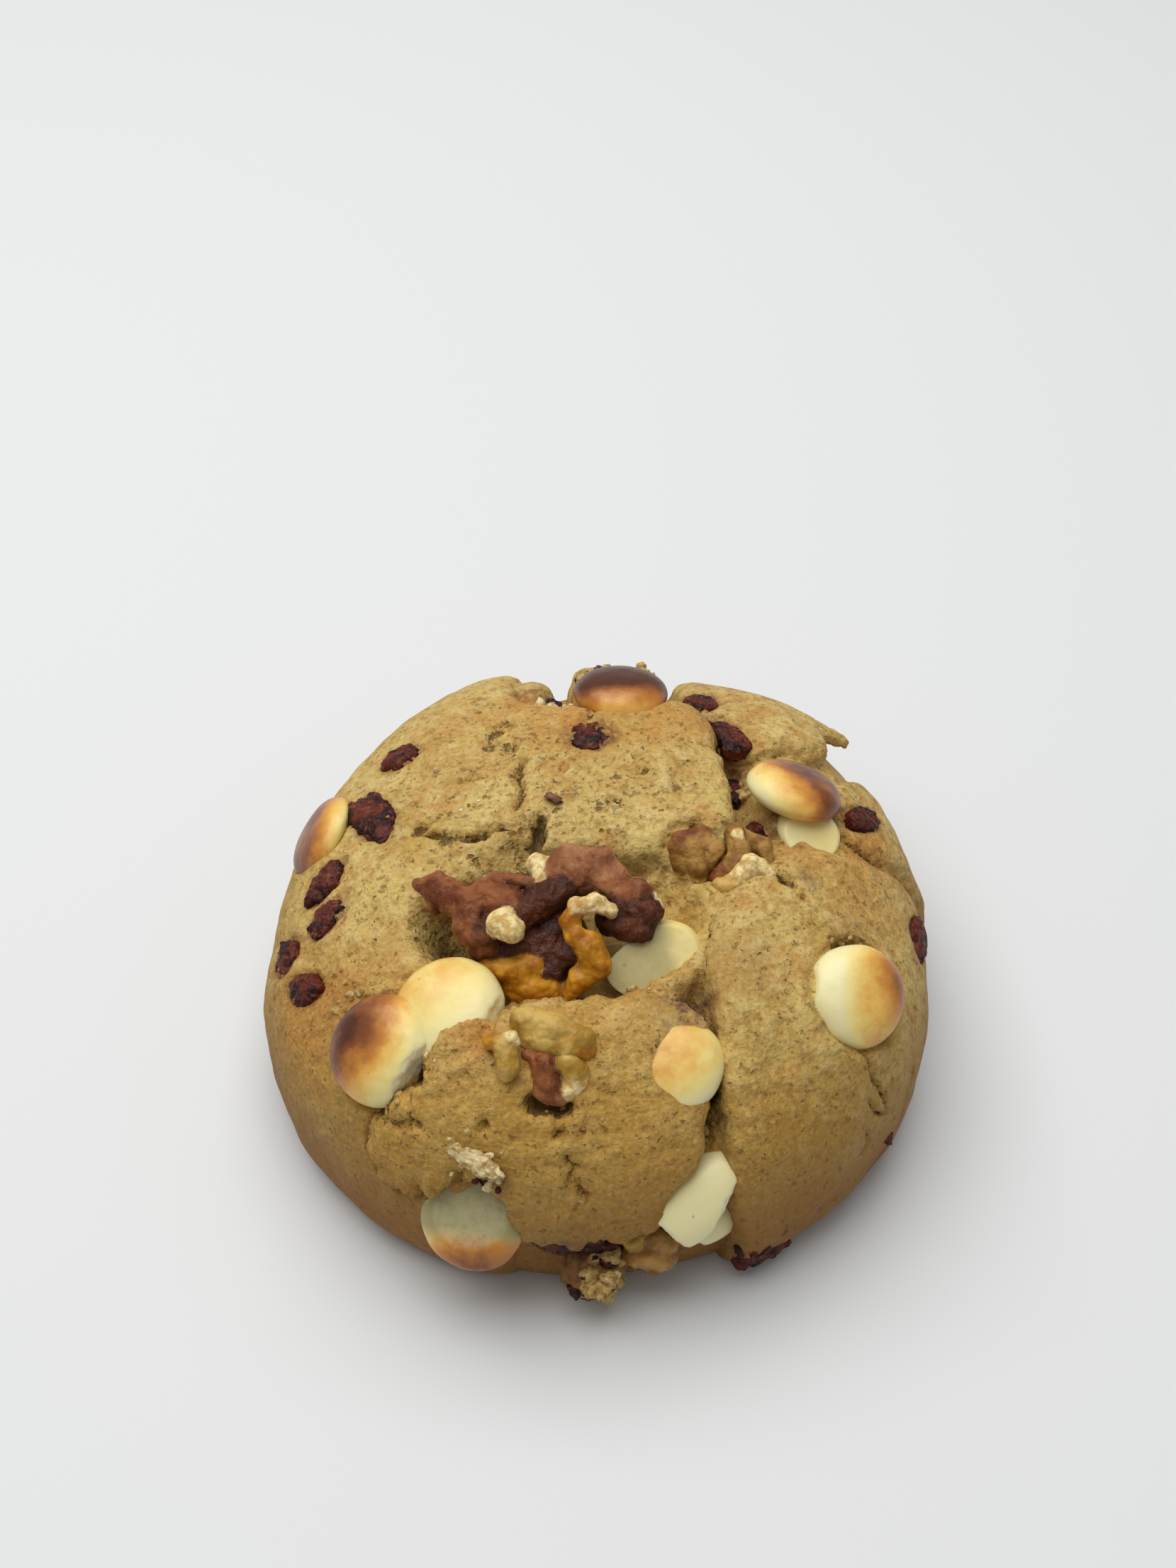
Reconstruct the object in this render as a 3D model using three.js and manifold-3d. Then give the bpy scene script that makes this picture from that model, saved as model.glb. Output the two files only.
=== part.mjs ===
// A baked pumpkin spice cookie: one thick mound of spiced dough whose crust has split into lobes
// round a sunken middle, with white baking chips, walnut pieces and dried red fruit set into it.
// Millimetres, +Z up. The origin is the middle of the flat underside.
import * as THREE from "three";
import { mergeVertices } from "three/addons/utils/BufferGeometryUtils.js";
import Module from "manifold-3d";

const { clamp, degToRad, smoothstep } = THREE.MathUtils;
const wasm = await Module();
wasm.setup();

// ---- driving dimensions ----
const MEAN_RADIUS = 46; // of the mound at its widest height
const CROWN_HEIGHT = 39; // of the plain mound, before the lobes rise over it
const WIDEST_HEIGHT = 9.5; // height of the widest level, where the side turns in to the foot
const FOOT_RATIO = 0.93; // radius of the underside over the widest radius
const DOME_POWER = 2.8; // superellipse power: 2 is a round dome, more is a squarer shoulder
const MIDDLE_X = -0.8; // the mound's axis, measured from the middle of the whole cookie
const MIDDLE_Y = 1.6;
const SEAT_GAP = 0.3; // between a piece and the dough or the piece that it sits against

// The widest outline isn't round: each wave adds swell * cos(count * angle - turn).
const OUTLINE_WAVES = [
  { count: 1, swell: 0.5, turn: 82 },
  { count: 2, swell: 0.7, turn: 124 },
  { count: 3, swell: 0.5, turn: -101 },
  { count: 4, swell: 0.3, turn: -158 },
  { count: 5, swell: 0.3, turn: -123 },
];

// A place on the dough is [across, back]: the way along the plain mound's skin from the crown, in
// the direction whose parts are across (+X) and back (+Y). Lift is the height over that skin.

// Lobes of risen crust. Each reaches its full lift at `edge` inside its outline. That lift grows
// by the slope's [across, back] parts for each millimetre from the crown.
const LOBES = [
  {
    // crown and the whole left side
    lift: 0.7,
    slope: [0.05, 0.005],
    edge: 4,
    outline: [
      [-11, 29], [-6.5, 26], [3, 25], [13, 24.8], [15.8, 20.6], [16.4, 15], [18, 8.5], [19.3, 2.5],
      [18, -2], [9, -4.5], [-2, -3], [-9, -5], [-17, -7], [-20.5, -12], [-21, -19], [-20, -27],
      [-17, -33], [-16, -50], [-15, -62], [-30, -95], [-95, -70], [-95, 60], [-30, 95], [-12, 50],
    ],
  },
  {
    // right-hand lobe, down to the foot
    lift: 0.8,
    slope: [-0.02, -0.045],
    edge: 3.5,
    outline: [
      [25.7, -1.5], [20.7, -5.7], [16.4, -10.7], [14.8, -17.3], [14.8, -24], [15.7, -30.7],
      [16.4, -37.3], [18, -44], [20.5, -51], [24, -58], [27, -66], [40, -95], [95, -60],
      [85, 6], [60, 4], [45.7, 2.3], [39.8, 1], [32.3, 0.2],
    ],
  },
  {
    // swelling of the left front, without a ledge
    lift: 0.4,
    slope: [0.02, -0.038],
    edge: 14,
    outline: [[-18, -31], [-34, -22], [-48, -8], [-95, -10], [-60, -95], [-22, -95], [-17, -50]],
  },
  {
    // front lobe, a ledge over the tier below it
    lift: 1.6,
    slope: [0, 0],
    edge: 2.4,
    outline: [
      [-17, -29.5], [-12, -29], [-6.8, -28.2], [-1, -25.7], [5.7, -25.3], [10.7, -26.5],
      [14, -31.5], [14.5, -39], [13, -45.7], [10.7, -50.7], [9.4, -55.7], [5.7, -57.3],
      [-1, -56.5], [-7.7, -56.5], [-12.7, -51.5], [-16, -46], [-24.3, -47.3], [-29.3, -44],
      [-29.3, -39.4], [-24.3, -36.5], [-21, -33],
    ],
  },
  {
    // thin plate at the back right, lower than the crown beside it
    lift: -4,
    slope: [0.17, 0],
    edge: 1.8,
    outline: [
      [10.5, 28], [15, 22], [19, 17], [25, 17.5], [30, 19], [33, 21.5], [33, 27], [36, 40],
      [42, 62], [30, 90], [14, 72], [12, 45],
    ],
  },
  {
    // low piece outside that plate, down to the foot
    lift: -3.6,
    slope: [0.085, 0],
    edge: 3,
    outline: [
      [24, 5], [33, 14], [38, 20], [45, 30], [60, 60], [95, 50], [80, 8], [46, 4.5], [34, 3],
    ],
  },
  {
    // lump that holds the rearmost chip
    lift: -0.4,
    slope: [0, 0],
    edge: 3.5,
    outline: [[-2.5, 27], [8, 27], [9, 36], [11, 60], [8, 80], [-6, 80], [-4.5, 50], [-3, 36]],
  },
  {
    // broken lump that sticks out at the front foot
    lift: 5,
    slope: [0, 0],
    edge: 4.5,
    outline: [[-5, -64], [-1, -62], [4, -63], [6, -69], [4, -90], [-6, -90], [-7, -70]],
  },
];

// What shows between the lobes lies this far below the plain mound.
const SEAM_LIFT = -1.6;
// The sunken middle: an oval of these half widths, at its full depth inside `floor` of its size.
const HOLLOW = { at: [-3, -13], across: 21, back: 14, floor: 0.62, lift: -5.2 };
// A shallow dish that draws down the inner edges of all the lobes round the hollow.
const DISH = { at: [-2, -13], across: 29, back: 21, floor: 0.5, lift: -1.4 };
// Crevices between the lobes, as routes over the dough.
const CREVICES = [
  {
    halfWidth: 3,
    depth: 2.6,
    route: [[14.5, 25], [18, 18], [20, 10], [22, 3], [23, -1]],
  },
  {
    halfWidth: 2.5,
    depth: 2.6,
    route: [[12.5, -25], [14.5, -32], [15.4, -40], [14.5, -48], [12, -56]],
  },
  {
    halfWidth: 2.5,
    depth: 1.4,
    route: [[-10, 29], [-4, 27], [3, 27.5], [10, 27]],
  },
];
// Notches cut down through the rear rim on each side of the lump.
const NOTCHES = [
  { halfWidth: 1.8, depth: 5, route: [[-5, 30.5], [-5.5, 37], [-6, 50]] },
  { halfWidth: 1.8, depth: 5, route: [[10.3, 29.5], [11, 37], [12, 50]] },
];
const FOOT_WAY = 9; // over this way above the underside, lift fades
const FOOT_SHARE = 0.4; // to this share of itself

// ---- the plain mound ----
const PROFILE_STEPS = 160;
const FOOT_STEPS = 40;

// The side's profile from the crown to the foot, as points with the way from the crown.
function moundProfile() {
  const points = [];
  for (let i = 0; i <= PROFILE_STEPS; i += 1) {
    const t = (Math.PI / 2) * (i / PROFILE_STEPS);
    const rise = CROWN_HEIGHT - WIDEST_HEIGHT;
    points.push([
      MEAN_RADIUS * Math.sin(t) ** (2 / DOME_POWER),
      WIDEST_HEIGHT + rise * Math.max(Math.cos(t), 0) ** (2 / DOME_POWER),
    ]);
  }
  for (let i = 1; i <= FOOT_STEPS; i += 1) {
    const t = (Math.PI / 2) * (i / FOOT_STEPS);
    points.push([
      MEAN_RADIUS * (FOOT_RATIO + (1 - FOOT_RATIO) * Math.cos(t)),
      WIDEST_HEIGHT * (1 - Math.sin(t)),
    ]);
  }
  let way = 0;
  return points.map(([r, z], i) => {
    if (i) way += Math.hypot(r - points[i - 1][0], z - points[i - 1][1]);
    return { way, r, z };
  });
}
const PROFILE = moundProfile();
const SKIN_WAY = PROFILE.at(-1).way; // from the crown to the edge of the underside

// Radius and height of the profile at a way from the crown.
function profileAt(way) {
  const found = PROFILE.findIndex((p) => p.way >= way);
  const after = found < 0 ? PROFILE.length - 1 : Math.max(found, 1);
  const a = PROFILE[after - 1];
  const b = PROFILE[after];
  const t = clamp((way - a.way) / (b.way - a.way), 0, 1);
  return { r: a.r + (b.r - a.r) * t, z: a.z + (b.z - a.z) * t };
}

// How much wider or narrower the outline is in a direction.
function outlineRatio(angle) {
  let radius = MEAN_RADIUS;
  for (const { count, swell, turn } of OUTLINE_WAVES) {
    radius += swell * Math.cos(count * angle - degToRad(turn));
  }
  return radius / MEAN_RADIUS;
}

// The point over a place at a lift, and the way out of the plain mound there.
function skin([across, back], lift = 0) {
  const sampleStep = 0.3;
  const way = Math.hypot(across, back);
  const angle = Math.atan2(back, across);
  const before = profileAt(Math.max(way - sampleStep, 0));
  const after = profileAt(way + sampleStep);
  const slope = new THREE.Vector2(after.r - before.r, after.z - before.z).normalize();
  const upward = Math.max(slope.x, 0); // below the widest level the skin is lifted straight out
  const normal = new THREE.Vector3(
    -slope.y * Math.cos(angle),
    -slope.y * Math.sin(angle),
    upward,
  ).normalize();
  const { r, z } = profileAt(way);
  const reach = r * outlineRatio(angle);
  const point = new THREE.Vector3(
    MIDDLE_X + reach * Math.cos(angle),
    MIDDLE_Y + reach * Math.sin(angle),
    z,
  );
  return { point: point.addScaledVector(normal, lift), normal };
}

// ---- lobes, seams and hollow ----
const OUTLINE_SAMPLES = 90;
const ROUTE_SAMPLES = 16;

function smoothPath(points, samples, closed) {
  const knots = points.map(([x, y]) => new THREE.Vector3(x, y, 0));
  const curve = new THREE.CatmullRomCurve3(knots, closed, "centripetal");
  return curve.getPoints(samples);
}

// Distance from a place to a path of straight steps.
function distanceTo(path, x, y) {
  let nearest = Infinity;
  for (let i = 1; i < path.length; i += 1) {
    const a = path[i - 1];
    const b = path[i];
    const dx = b.x - a.x;
    const dy = b.y - a.y;
    const t = clamp(((x - a.x) * dx + (y - a.y) * dy) / (dx * dx + dy * dy), 0, 1);
    nearest = Math.min(nearest, Math.hypot(x - a.x - t * dx, y - a.y - t * dy));
  }
  return nearest;
}

// Distance inside a closed path, negative outside it: a ray to the right crosses it an odd
// number of times from inside.
function distanceInside(path, x, y) {
  let inside = false;
  for (let i = 1; i < path.length; i += 1) {
    const a = path[i - 1];
    const b = path[i];
    const spans = a.y > y !== b.y > y;
    if (spans && x < a.x + ((b.x - a.x) * (y - a.y)) / (b.y - a.y)) inside = !inside;
  }
  return distanceTo(path, x, y) * (inside ? 1 : -1);
}

const withPath = (row) => ({
  ...row,
  path: row.outline
    ? smoothPath(row.outline, OUTLINE_SAMPLES, true)
    : smoothPath(row.route, ROUTE_SAMPLES, false),
});
const lobes = LOBES.map(withPath);
const crevices = CREVICES.map(withPath);
const notches = NOTCHES.map(withPath);

// How far out of an oval a place is: 0 at its middle, 1 on its edge.
function ovalReach({ at, across, back }, x, y) {
  return Math.hypot((x - at[0]) / across, (y - at[1]) / back);
}

// A rounded groove: depth * exp(-(distance / halfWidth)^2), summed over the routes.
function grooves(list, x, y) {
  let sum = 0;
  for (const { path, halfWidth, depth } of list) {
    sum += depth * Math.exp(-((distanceTo(path, x, y) / halfWidth) ** 2));
  }
  return sum;
}

// The crust's lift: the highest of the seam floor and each lobe, whose edge is a quarter round.
function crustLift(x, y) {
  const inHollow = 1 - smoothstep(ovalReach(HOLLOW, x, y), HOLLOW.floor, 1);
  const seam = SEAM_LIFT - grooves(crevices, x, y);
  const floor = seam + (HOLLOW.lift - seam) * inHollow;
  let lift = floor;
  for (const lobe of lobes) {
    const t = clamp(distanceInside(lobe.path, x, y) / lobe.edge, 0, 1);
    const round = Math.sqrt(1 - (1 - t) ** 2);
    const full = lobe.lift + lobe.slope[0] * x + lobe.slope[1] * y;
    lift = Math.max(lift, floor + (full - floor) * round);
  }
  const inDish = 1 - smoothstep(ovalReach(DISH, x, y), DISH.floor, 1);
  lift += DISH.lift * inDish * clamp(lift - floor, 0, 1);
  lift -= grooves(notches, x, y);
  const aboveFoot = smoothstep(SKIN_WAY - Math.hypot(x, y), 0, FOOT_WAY);
  return lift * (FOOT_SHARE + (1 - FOOT_SHARE) * aboveFoot);
}

// ---- the dough ----
const GRID = 38; // squares across the sheet that is wrapped over the mound
const CENTRE_SHARE = 0.62; // of an even spread of rings: the rest crowds them towards the crown

// The sheet's square becomes a disc: rings of squares become rings round the crown.
function sheetPlace(i, j) {
  const u = (2 * i) / GRID - 1;
  const v = (2 * j) / GRID - 1;
  const ring = Math.max(Math.abs(u), Math.abs(v));
  if (ring === 0) return [0, 0];
  const across = Math.abs(u) >= Math.abs(v);
  const quarter = Math.PI / 4;
  const angle = across
    ? quarter * (v / u) + (u < 0 ? Math.PI : 0)
    : 2 * quarter - quarter * (u / v) + (v < 0 ? Math.PI : 0);
  const way = SKIN_WAY * ring * (CENTRE_SHARE + (1 - CENTRE_SHARE) * ring * ring);
  return [way * Math.cos(angle), way * Math.sin(angle)];
}

// The wrapped sheet, closed below by a flat fan round the middle of the underside.
function doughGeometry() {
  const side = GRID + 1;
  const positions = [];
  const triangles = [];
  for (let j = 0; j <= GRID; j += 1) {
    for (let i = 0; i <= GRID; i += 1) {
      const place = sheetPlace(i, j);
      const { point } = skin(place, crustLift(...place));
      const onFoot = i === 0 || j === 0 || i === GRID || j === GRID;
      positions.push(point.x, point.y, onFoot ? 0 : point.z);
    }
  }
  for (let j = 0; j < GRID; j += 1) {
    for (let i = 0; i < GRID; i += 1) {
      const a = j * side + i;
      const b = a + 1;
      const c = a + side + 1;
      const d = a + side;
      // the diagonal runs towards the crown, so that the sheet folds alike on all sides
      if (i < GRID / 2 === j < GRID / 2) triangles.push(a, b, c, a, c, d);
      else triangles.push(a, b, d, b, c, d);
    }
  }
  const rim = [];
  for (let i = 0; i < GRID; i += 1) rim.push(i);
  for (let j = 0; j < GRID; j += 1) rim.push(j * side + GRID);
  for (let i = GRID; i > 0; i -= 1) rim.push(GRID * side + i);
  for (let j = GRID; j > 0; j -= 1) rim.push(j * side);
  const middle = positions.length / 3;
  positions.push(MIDDLE_X, MIDDLE_Y, 0);
  rim.forEach((vertex, k) => triangles.push(rim[(k + 1) % rim.length], vertex, middle));
  const geometry = new THREE.BufferGeometry();
  geometry.setAttribute("position", new THREE.Float32BufferAttribute(positions, 3));
  geometry.setIndex(triangles);
  return geometry;
}

// ---- what is set into the dough ----

// A white baking chip: a round button with a domed top and a shallow, flatter bottom. Its profile
// runs round (radius * cos t ^ belly, height * sin t), its edge swells in and out a little, and a
// broken one is only `thin` of its width across.
const CHIP = { radius: 6.6, dome: 3.6, base: 1.8, thin: 1 };
const CHIP_SIDES = 12;
const CHIP_BANDS = 5;
const CHIP_BELLY = 0.75; // less is a fuller edge
const CHIP_SWELL = 0.03;
const CHIP_SWELLS = 3; // round the edge
function chipGeometry({ radius, dome, base, thin }, grow) {
  const profile = [];
  for (let k = 0; k <= CHIP_BANDS; k += 1) {
    const t = -Math.PI / 2 + (Math.PI * k) / CHIP_BANDS;
    const height = (t > 0 ? dome : base) + grow;
    const out = k % CHIP_BANDS ? (radius + grow) * Math.cos(t) ** CHIP_BELLY : 0;
    profile.push(new THREE.Vector2(out, height * Math.sin(t)));
  }
  const geometry = new THREE.LatheGeometry(profile, CHIP_SIDES).rotateX(Math.PI / 2);
  return reshape(geometry, (p) => {
    const swell = 1 + CHIP_SWELL * Math.cos(CHIP_SWELLS * (Math.atan2(p.y, p.x) + 1));
    p.set(p.x * swell, p.y * swell * thin, p.z);
  });
}

// A lump: a rounded body of half sizes [a, b, c], knobbly by `rough`, with the bumps set by `seed`.
// Its facets come from a once divided icosahedron, or octahedron for the smallest.
const BUMP_WAVES = [2.6, 3.1, 2.9]; // along the lump's own axes
function lumpGeometry({ half, rough, seed, Solid = THREE.IcosahedronGeometry }, grow) {
  const geometry = new Solid(1, 1);
  return reshape(geometry, (p) => {
    const [wide, deep, high] = BUMP_WAVES;
    const bumps = [
      Math.sin(wide * p.x + seed),
      Math.sin(deep * p.y + 2 * seed),
      Math.sin(high * p.z - seed),
    ];
    const bump = (bumps[0] + bumps[1] + bumps[2]) / bumps.length;
    p.multiplyScalar(1 + rough * bump);
    p.set(p.x * (half[0] + grow), p.y * (half[1] + grow), p.z * (half[2] + grow));
  });
}

// Moves every vertex of a geometry and merges the vertices that coincide.
const MERGE_DISTANCE = 1e-4;
function reshape(geometry, move) {
  geometry.deleteAttribute("normal");
  geometry.deleteAttribute("uv");
  const merged = mergeVertices(geometry, MERGE_DISTANCE);
  const position = merged.getAttribute("position");
  const p = new THREE.Vector3();
  for (let i = 0; i < position.count; i += 1) {
    p.fromBufferAttribute(position, i);
    move(p);
    position.setXYZ(i, p.x, p.y, p.z);
  }
  return merged;
}

// Stands a piece on the dough: its own Z goes along the dough's outward direction, changed by
// `lean` (a vector in the cookie's frame), and its own X is turned by `turn` degrees from +X.
function placement({ at, lift, lean = [0, 0, 0], turn = 0 }) {
  const { point, normal } = skin(at, lift);
  const up = normal.add(new THREE.Vector3(...lean)).normalize();
  const heading = new THREE.Vector3(Math.cos(degToRad(turn)), Math.sin(degToRad(turn)), 0);
  const side = new THREE.Vector3().crossVectors(up, heading).normalize();
  const ahead = new THREE.Vector3().crossVectors(side, up);
  const basis = new THREE.Matrix4().makeBasis(ahead, side, up);
  return { position: point, quaternion: new THREE.Quaternion().setFromRotationMatrix(basis) };
}

const crumb = { color: 0xc1a15f, roughness: 0.85 };
const whiteChip = { color: 0xeadfa4, roughness: 0.45 };
const toastedChip = { color: 0xbf8238, roughness: 0.4 };
const walnutSkin = { color: 0x744a2a, roughness: 0.5 };
const walnutFlesh = { color: 0xb08a4a, roughness: 0.55 };
const redFruit = { color: 0x6f2c28, roughness: 0.6 };

// Where each piece lies, how it is turned and how large it is.
const CHIPS = [
  { name: "chip_left_toasted", at: [-26.7, -30.1], lift: 0.6, radius: 6.9, finish: toastedChip },
  { name: "chip_left_pale", at: [-18.2, -26.2], lift: -1.2, lean: [0.05, 0, 0], radius: 7 },
  { name: "chip_right", at: [33.4, -22], lift: 0.2, lean: [-0.25, -0.15, 0], radius: 6.7 },
  { name: "chip_back_right", at: [27.4, 8.6], lift: 0.1, radius: 6.1, dome: 3.2, finish: toastedChip },
  { name: "chip_rear", at: [3.6, 27.3], lift: -0.3, lean: [0, 0.1, 0], dome: 3, finish: toastedChip },
  { name: "chip_hollow", at: [7.7, -19], lift: -4.2, lean: [0.12, -0.1, 0], turn: 35, thin: 0.74 },
  { name: "chip_front_low", at: [-18.3, -53.5], lift: 0.6, lean: [0.1, 0.2, 0.6], dome: 2.4 },
  {
    // stands on edge in the crack between the front and right lobes
    name: "chip_crack_half", at: [15.6, -52.8], lift: -0.6, lean: [-0.2, 0.1, 0.5], turn: 62,
    radius: 7.4, dome: 2.6, thin: 0.42,
  },
  {
    name: "chip_crack_splinter", at: [19.6, -59], lift: -1.6, lean: [0, 0.1, 0.5], turn: 20,
    radius: 4.8, dome: 1.6, base: 1.4, thin: 0.62,
  },
  { name: "chip_front_lobe", at: [10.9, -34.9], lift: -0.8, lean: [0.1, 0, 0], radius: 5.4, dome: 3 },
  { name: "chip_half_sunk", at: [30.6, 3.8], lift: -2.8, turn: 30, radius: 4.8, dome: 2.6 },
  {
    name: "chip_left_rim", at: [-40.9, 8.4], lift: -1.3, lean: [-0.3, 0, 0],
    radius: 6.1, dome: 2.6, finish: toastedChip,
  },
];

const NUTS = [
  {
    name: "walnut_back_left", at: [12.4, -3.8], lift: -0.6,
    half: [3.6, 4.2, 2.6], seed: 1.3, finish: walnutSkin,
  },
  {
    name: "walnut_back_right", at: [18.4, -3.4], lift: -0.7, turn: 65,
    half: [4.8, 3.2, 2.5], seed: 2.1, finish: walnutSkin,
  },
  { name: "walnut_back_flesh", at: [18.8, -7], lift: -2, turn: 25, half: [4, 2.6, 1.6], seed: 3.7 },
  {
    name: "walnut_front_plate", at: [-6.2, -30.1], lift: 0.3, turn: -12,
    half: [5.8, 3.1, 1.8], seed: 0.4,
  },
  {
    name: "walnut_front_nugget", at: [-5.2, -35.6], lift: -0.2, turn: 60,
    half: [4.4, 3.9, 3], seed: 5.2,
  },
  {
    name: "walnut_front_bit", at: [-11.4, -32.4], lift: 1, turn: 70,
    half: [3.2, 2.2, 1.6], seed: 4.4,
  },
  {
    name: "walnut_foot", at: [12, -62.2], lift: -0.2, turn: 40,
    half: [4.4, 3.4, 2.6], seed: 2.9, finish: walnutSkin,
  },
];

const FRUIT = [
  { name: "fruit_crown", at: [-0.5, 16.3], lift: -0.3, half: [3.2, 2.7, 1.8] },
  { name: "fruit_left_back", at: [-27.9, 18.6], lift: -0.6, turn: 20, half: [2.8, 2.6, 1.7] },
  { name: "fruit_left_large", at: [-31, 6.6], lift: -0.9, turn: -58, half: [5.2, 2.8, 2] },
  { name: "fruit_left_upper", at: [-37.7, -2.8], lift: -1, turn: 40, half: [3.6, 2.2, 1.7] },
  { name: "fruit_left_middle", at: [-36.3, -9], lift: -0.9, turn: 35, half: [3.1, 2, 1.6] },
  { name: "fruit_left_rim", at: [-44.6, -12], lift: -0.9, turn: 60, half: [2.9, 2.2, 1.7] },
  { name: "fruit_left_lower", at: [-40.2, -18.4], lift: -0.6, turn: -20, half: [3.1, 2.2, 1.7] },
  { name: "fruit_back", at: [-7.6, 30.6], lift: -1.6, turn: -40, half: [3.8, 2.8, 2] },
  { name: "fruit_back_plate", at: [14.9, 28.4], lift: -1.8, turn: 60, half: [3.4, 2.2, 1.7] },
  { name: "fruit_cleft_back", at: [17.8, 20.2], lift: -2, turn: -55, half: [3.9, 2.2, 1.8] },
  { name: "fruit_cleft_middle", at: [19.7, 13.6], lift: -3.2, turn: 80, half: [2.7, 1.9, 1.7] },
  { name: "fruit_cleft_front", at: [22.8, 4], lift: -3.4, turn: 30, half: [3.2, 2.4, 1.8] },
  { name: "fruit_right_back", at: [38.9, 9.9], lift: -0.9, turn: 35, half: [3.7, 2.1, 1.6] },
  { name: "fruit_right_rim", at: [48.6, -7.2], lift: 0, turn: 70, half: [3.4, 2.5, 1.7] },
  { name: "fruit_front_foot", at: [-4, -62], lift: 0.6, half: [5, 2.6, 2.2] },
  { name: "fruit_right_foot", at: [32, -61.5], lift: 0.8, turn: 20, half: [4, 2.2, 1.7] },
];
const FRUIT_FORM = { rough: 0.16, Solid: THREE.OctahedronGeometry };
const NUT_ROUGHNESS = 0.2;

// The large walnut piece is a quarter kernel lying in the hollow: lumps grown into one body.
const KERNEL = [
  { at: [-18.8, -10.3], lift: 1.2, turn: 25, half: [4.4, 2.4, 2] }, // pointed left end
  { at: [-12.6, -13.4], lift: 1, turn: 35, half: [5.6, 4.8, 3.8] }, // left lobe
  { at: [-6.6, -12.8], lift: 1.6, half: [4.8, 4.2, 3.4] }, // saddle
  { at: [-0.8, -10.6], lift: 2, turn: 20, half: [5.6, 4.2, 4] }, // high middle lobe
  { at: [3.8, -14.4], lift: 0.6, turn: -25, half: [5, 4.1, 3.6] }, // right lobe
  { at: [-1.6, -19], lift: 0.9, turn: 80, half: [5.2, 2.1, 3] }, // ridge over the broken face
  { at: [-8.8, -20.6], lift: -1.9, turn: -14, half: [6.6, 3.6, 2.6] }, // broken face
  { at: [-7.8, -23], lift: -4.3, turn: -10, half: [4.4, 2.8, 2.2] }, // underside
];

// ---- putting the pieces in place ----
function pieceMesh(name, geometry, finish, place) {
  const mesh = new THREE.Mesh(geometry, new THREE.MeshStandardMaterial({ ...finish, metalness: 0 }));
  mesh.name = name;
  mesh.position.copy(place.position);
  mesh.quaternion.copy(place.quaternion);
  mesh.updateMatrixWorld();
  return mesh;
}

function solidFrom(geometry, matrix) {
  const placed = geometry.clone().applyMatrix4(matrix);
  return new wasm.Manifold(
    new wasm.Mesh({
      numProp: 3,
      vertProperties: new Float32Array(placed.getAttribute("position").array),
      triVerts: new Uint32Array(placed.index.array),
    }),
  );
}

// The largest body of a solid: a cut can leave loose slivers beside it.
function largestBody(solid) {
  return solid.decompose().reduce((a, b) => (b.volume() > a.volume() ? b : a));
}

function geometryFrom(solid, matrix) {
  const { vertProperties, triVerts } = solid.getMesh();
  const geometry = new THREE.BufferGeometry();
  geometry.setAttribute("position", new THREE.Float32BufferAttribute(vertProperties, 3));
  geometry.setIndex(Array.from(triVerts));
  geometry.applyMatrix4(matrix.clone().invert());
  geometry.computeVertexNormals();
  return geometry;
}

const cookie = new THREE.Group();
cookie.name = "pumpkin_spice_cookie";
const seats = []; // each placed piece, grown by the gap, as a cutter for what comes after it

function clearOfSeats(mesh) {
  const whole = solidFrom(mesh.geometry, mesh.matrixWorld);
  const left = seats.reduce((rest, seat) => rest.subtract(seat), whole);
  return geometryFrom(largestBody(left), mesh.matrixWorld);
}

// Adds a piece after cutting away what the earlier ones already fill.
function setPiece(name, make, finish, place) {
  const mesh = pieceMesh(name, make(0), finish, place);
  mesh.geometry = clearOfSeats(mesh);
  seats.push(solidFrom(make(SEAT_GAP), mesh.matrixWorld));
  cookie.add(mesh);
}

// The kernel: its lumps are joined in the cookie's own frame.
function kernelSolid(grow) {
  const lumps = KERNEL.map((lump, k) => {
    const { position, quaternion } = placement(lump);
    const matrix = new THREE.Matrix4().compose(position, quaternion, new THREE.Vector3(1, 1, 1));
    return solidFrom(lumpGeometry({ ...lump, rough: NUT_ROUGHNESS, seed: 1.7 * k }, grow), matrix);
  });
  return lumps.reduce((a, b) => a.add(b));
}

const UPRIGHT = { position: new THREE.Vector3(), quaternion: new THREE.Quaternion() };
const kernelGeometry = geometryFrom(kernelSolid(0), new THREE.Matrix4());
cookie.add(pieceMesh("walnut_kernel", kernelGeometry, walnutSkin, UPRIGHT));
seats.push(kernelSolid(SEAT_GAP));

for (const chip of CHIPS) {
  const make = (grow) => chipGeometry({ ...CHIP, ...chip }, grow);
  setPiece(chip.name, make, chip.finish ?? whiteChip, placement(chip));
}
for (const nut of NUTS) {
  const make = (grow) => lumpGeometry({ ...nut, rough: NUT_ROUGHNESS }, grow);
  setPiece(nut.name, make, nut.finish ?? walnutFlesh, placement(nut));
}
FRUIT.forEach((fruit, k) => {
  const make = (grow) => lumpGeometry({ ...fruit, ...FRUIT_FORM, seed: 2.3 * k }, grow);
  setPiece(fruit.name, make, redFruit, placement(fruit));
});

const dough = pieceMesh("dough", doughGeometry(), crumb, UPRIGHT);
dough.geometry = clearOfSeats(dough);
cookie.add(dough);

export default cookie;
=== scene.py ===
import bpy
import numpy as np
from mathutils import Matrix


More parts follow.
